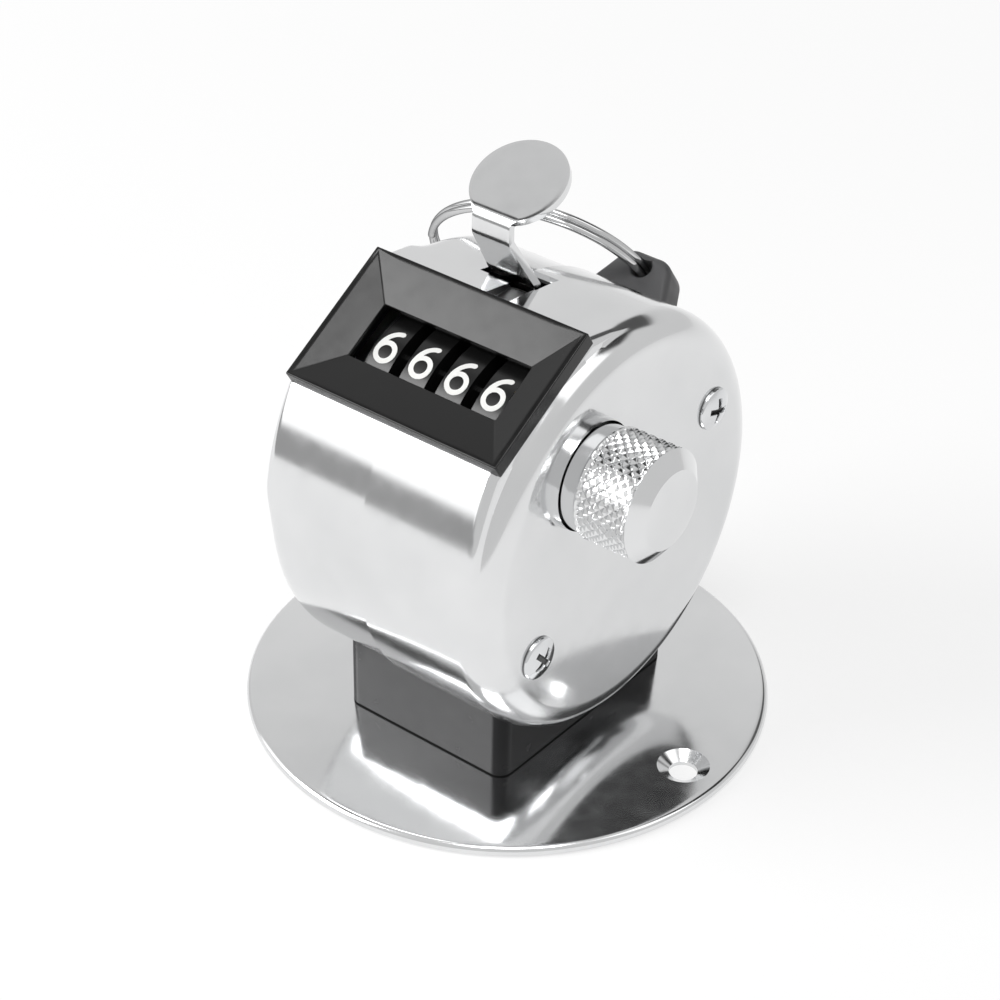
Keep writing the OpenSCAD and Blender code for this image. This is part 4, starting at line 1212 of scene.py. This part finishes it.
sky_glow = 0.4
world = bpy.data.worlds.new("studio")
scene.world = world
world.use_nodes = True
sky_tree = world.node_tree
sky_light = sky_tree.nodes["Background"]
sky_light.inputs["Strength"].default_value = sky_glow
sky_white = sky_tree.nodes.new("ShaderNodeBackground")
sky_mirrored = sky_tree.nodes.new("ShaderNodeBackground")
for sky in (sky_light, sky_white, sky_mirrored):
    sky.inputs["Color"].default_value = (1.0, 1.0, 1.0, 1.0)
sky_place = sky_tree.nodes.new("ShaderNodeTexCoord")


def towards(turn, height):
    """Direction at a turn from the front towards the knob side and a height over level, both in degrees."""
    turn, height = np.radians([turn, height])
    return np.array([np.cos(height) * np.sin(turn), -np.cos(height) * np.cos(turn), np.sin(height)])


def sky_card(under, turn, height, half, edge, tone):
    """Lays a rectangle of one tone over the mirrored sky. A direction's shares along the card's level side
    and upright side are held against its half sizes, and each edge is soft over its own width."""
    middle = towards(turn, height)
    level_side = towards(turn + 90.0, 0.0)
    upright_side = towards(turn, height + 90.0)
    direction = sky_place.outputs["Generated"]
    share = reckon(sky_tree, "ShaderNodeVectorMath", "DOT_PRODUCT", direction, middle)
    share = reckon(sky_tree, "ShaderNodeMath", "GREATER_THAN", share, 0.0)
    for side, half_size, soft in zip((level_side, upright_side), half, edge):
        along = reckon(sky_tree, "ShaderNodeVectorMath", "DOT_PRODUCT", direction, side)
        along = reckon(sky_tree, "ShaderNodeMath", "ABSOLUTE", along)
        inside = ramp(sky_tree, along, half_size + soft, half_size)
        share = reckon(sky_tree, "ShaderNodeMath", "MULTIPLY", share, inside)
    change = reckon(sky_tree, "ShaderNodeMath", "SUBTRACT", tone, under)
    return reckon(sky_tree, "ShaderNodeMath", "MULTIPLY_ADD", share, change, under)


sky_tone = 0.72
sky_tone = sky_card(sky_tone, turn=-135.0, height=12.0, half=(0.3, 0.35), edge=(0.25, 0.2), tone=0.82)
sky_tone = sky_card(sky_tone, turn=160.0, height=50.0, half=(0.2, 0.18), edge=(0.1, 0.12), tone=0.05)
sky_tone = sky_card(sky_tone, turn=180.0, height=33.0, half=(0.2, 0.1), edge=(0.12, 0.12), tone=0.1)
sky_tone = sky_card(sky_tone, turn=-76.0, height=58.0, half=(0.083, 0.1), edge=(0.04, 0.08), tone=0.08)
sky_tone = sky_card(sky_tone, turn=116.0, height=51.0, half=(0.22, 0.2), edge=(0.04, 0.08), tone=1.5)
sky_tone = sky_card(sky_tone, turn=-48.0, height=0.0, half=(0.33, 0.04), edge=(0.35, 0.08), tone=0.38)
sky_tone = sky_card(sky_tone, turn=-51.0, height=22.0, half=(0.42, 0.28), edge=(0.05, 0.06), tone=1.5)
sky_tree.links.new(sky_tone, sky_mirrored.inputs["Strength"])
sky_path = sky_tree.nodes.new("ShaderNodeLightPath")
sky_glossy = reckon(sky_tree, "ShaderNodeMath", "MAXIMUM", sky_path.outputs["Is Glossy Ray"],
                    sky_path.outputs["Is Transmission Ray"])
sky_mix = mixed_shader(sky_tree, sky_glossy, sky_light.outputs["Background"],
                       sky_mirrored.outputs["Background"])
sky_mix = mixed_shader(sky_tree, sky_path.outputs["Is Camera Ray"], sky_mix, sky_white.outputs["Background"])
sky_tree.links.new(sky_mix, sky_tree.nodes["World Output"].inputs["Surface"])


def soft_lamp(name, turn, height, distance, size, power):
    """Area lamp of a width and height that stands in a direction at a distance and faces the counter."""
    light = bpy.data.lights.new(name, "AREA")
    light.shape = "RECTANGLE"
    light.size, light.size_y = size
    light.energy = power
    lamp = bpy.data.objects.new(name, light)
    away = Vector(towards(turn, height))
    lamp.location = counter_middle + away * distance
    lamp.rotation_euler = away.to_track_quat("Z", "Y").to_euler()
    scene.collection.objects.link(lamp)


counter_middle = Vector((0.38, 0.0, 29.2)) * MM
soft_lamp("front_lamp", turn=-42.0, height=31.0, distance=0.8, size=(0.52, 0.46), power=4.3)
soft_lamp("top_lamp", turn=45.0, height=69.0, distance=0.75, size=(0.33, 0.33), power=1.8)

# Camera
# It looks down on the counter from the knob side, with a long lens.
# Its place follows from the outlines of plate, drum and bezel.
camera_turn = np.radians(38.39)
camera_height = np.radians(34.1)
camera_roll = np.radians(0.97)
camera_distance = 275.15 * MM
camera_slide = (-1.51 * MM, -4.07 * MM)
camera_lens = 97.27
camera_film = 36.0
camera_data = bpy.data.cameras.new("camera")
camera_data.lens = camera_lens
camera_data.sensor_width = camera_film
camera = bpy.data.objects.new("camera", camera_data)
back = Vector((np.sin(camera_turn) * np.cos(camera_height), -np.cos(camera_turn) * np.cos(camera_height),
               np.sin(camera_height)))
level = Vector((np.cos(camera_turn), np.sin(camera_turn), 0.0))
upright = back.cross(level)
right = level * np.cos(camera_roll) + upright * np.sin(camera_roll)
up = upright * np.cos(camera_roll) - level * np.sin(camera_roll)
eye = counter_middle + back * camera_distance + right * camera_slide[0] + up * camera_slide[1]
camera.matrix_world = Matrix((
    (right.x, up.x, back.x, eye.x),
    (right.y, up.y, back.y, eye.y),
    (right.z, up.z, back.z, eye.z),
    (0.0, 0.0, 0.0, 1.0),
))
scene.collection.objects.link(camera)
scene.camera = camera
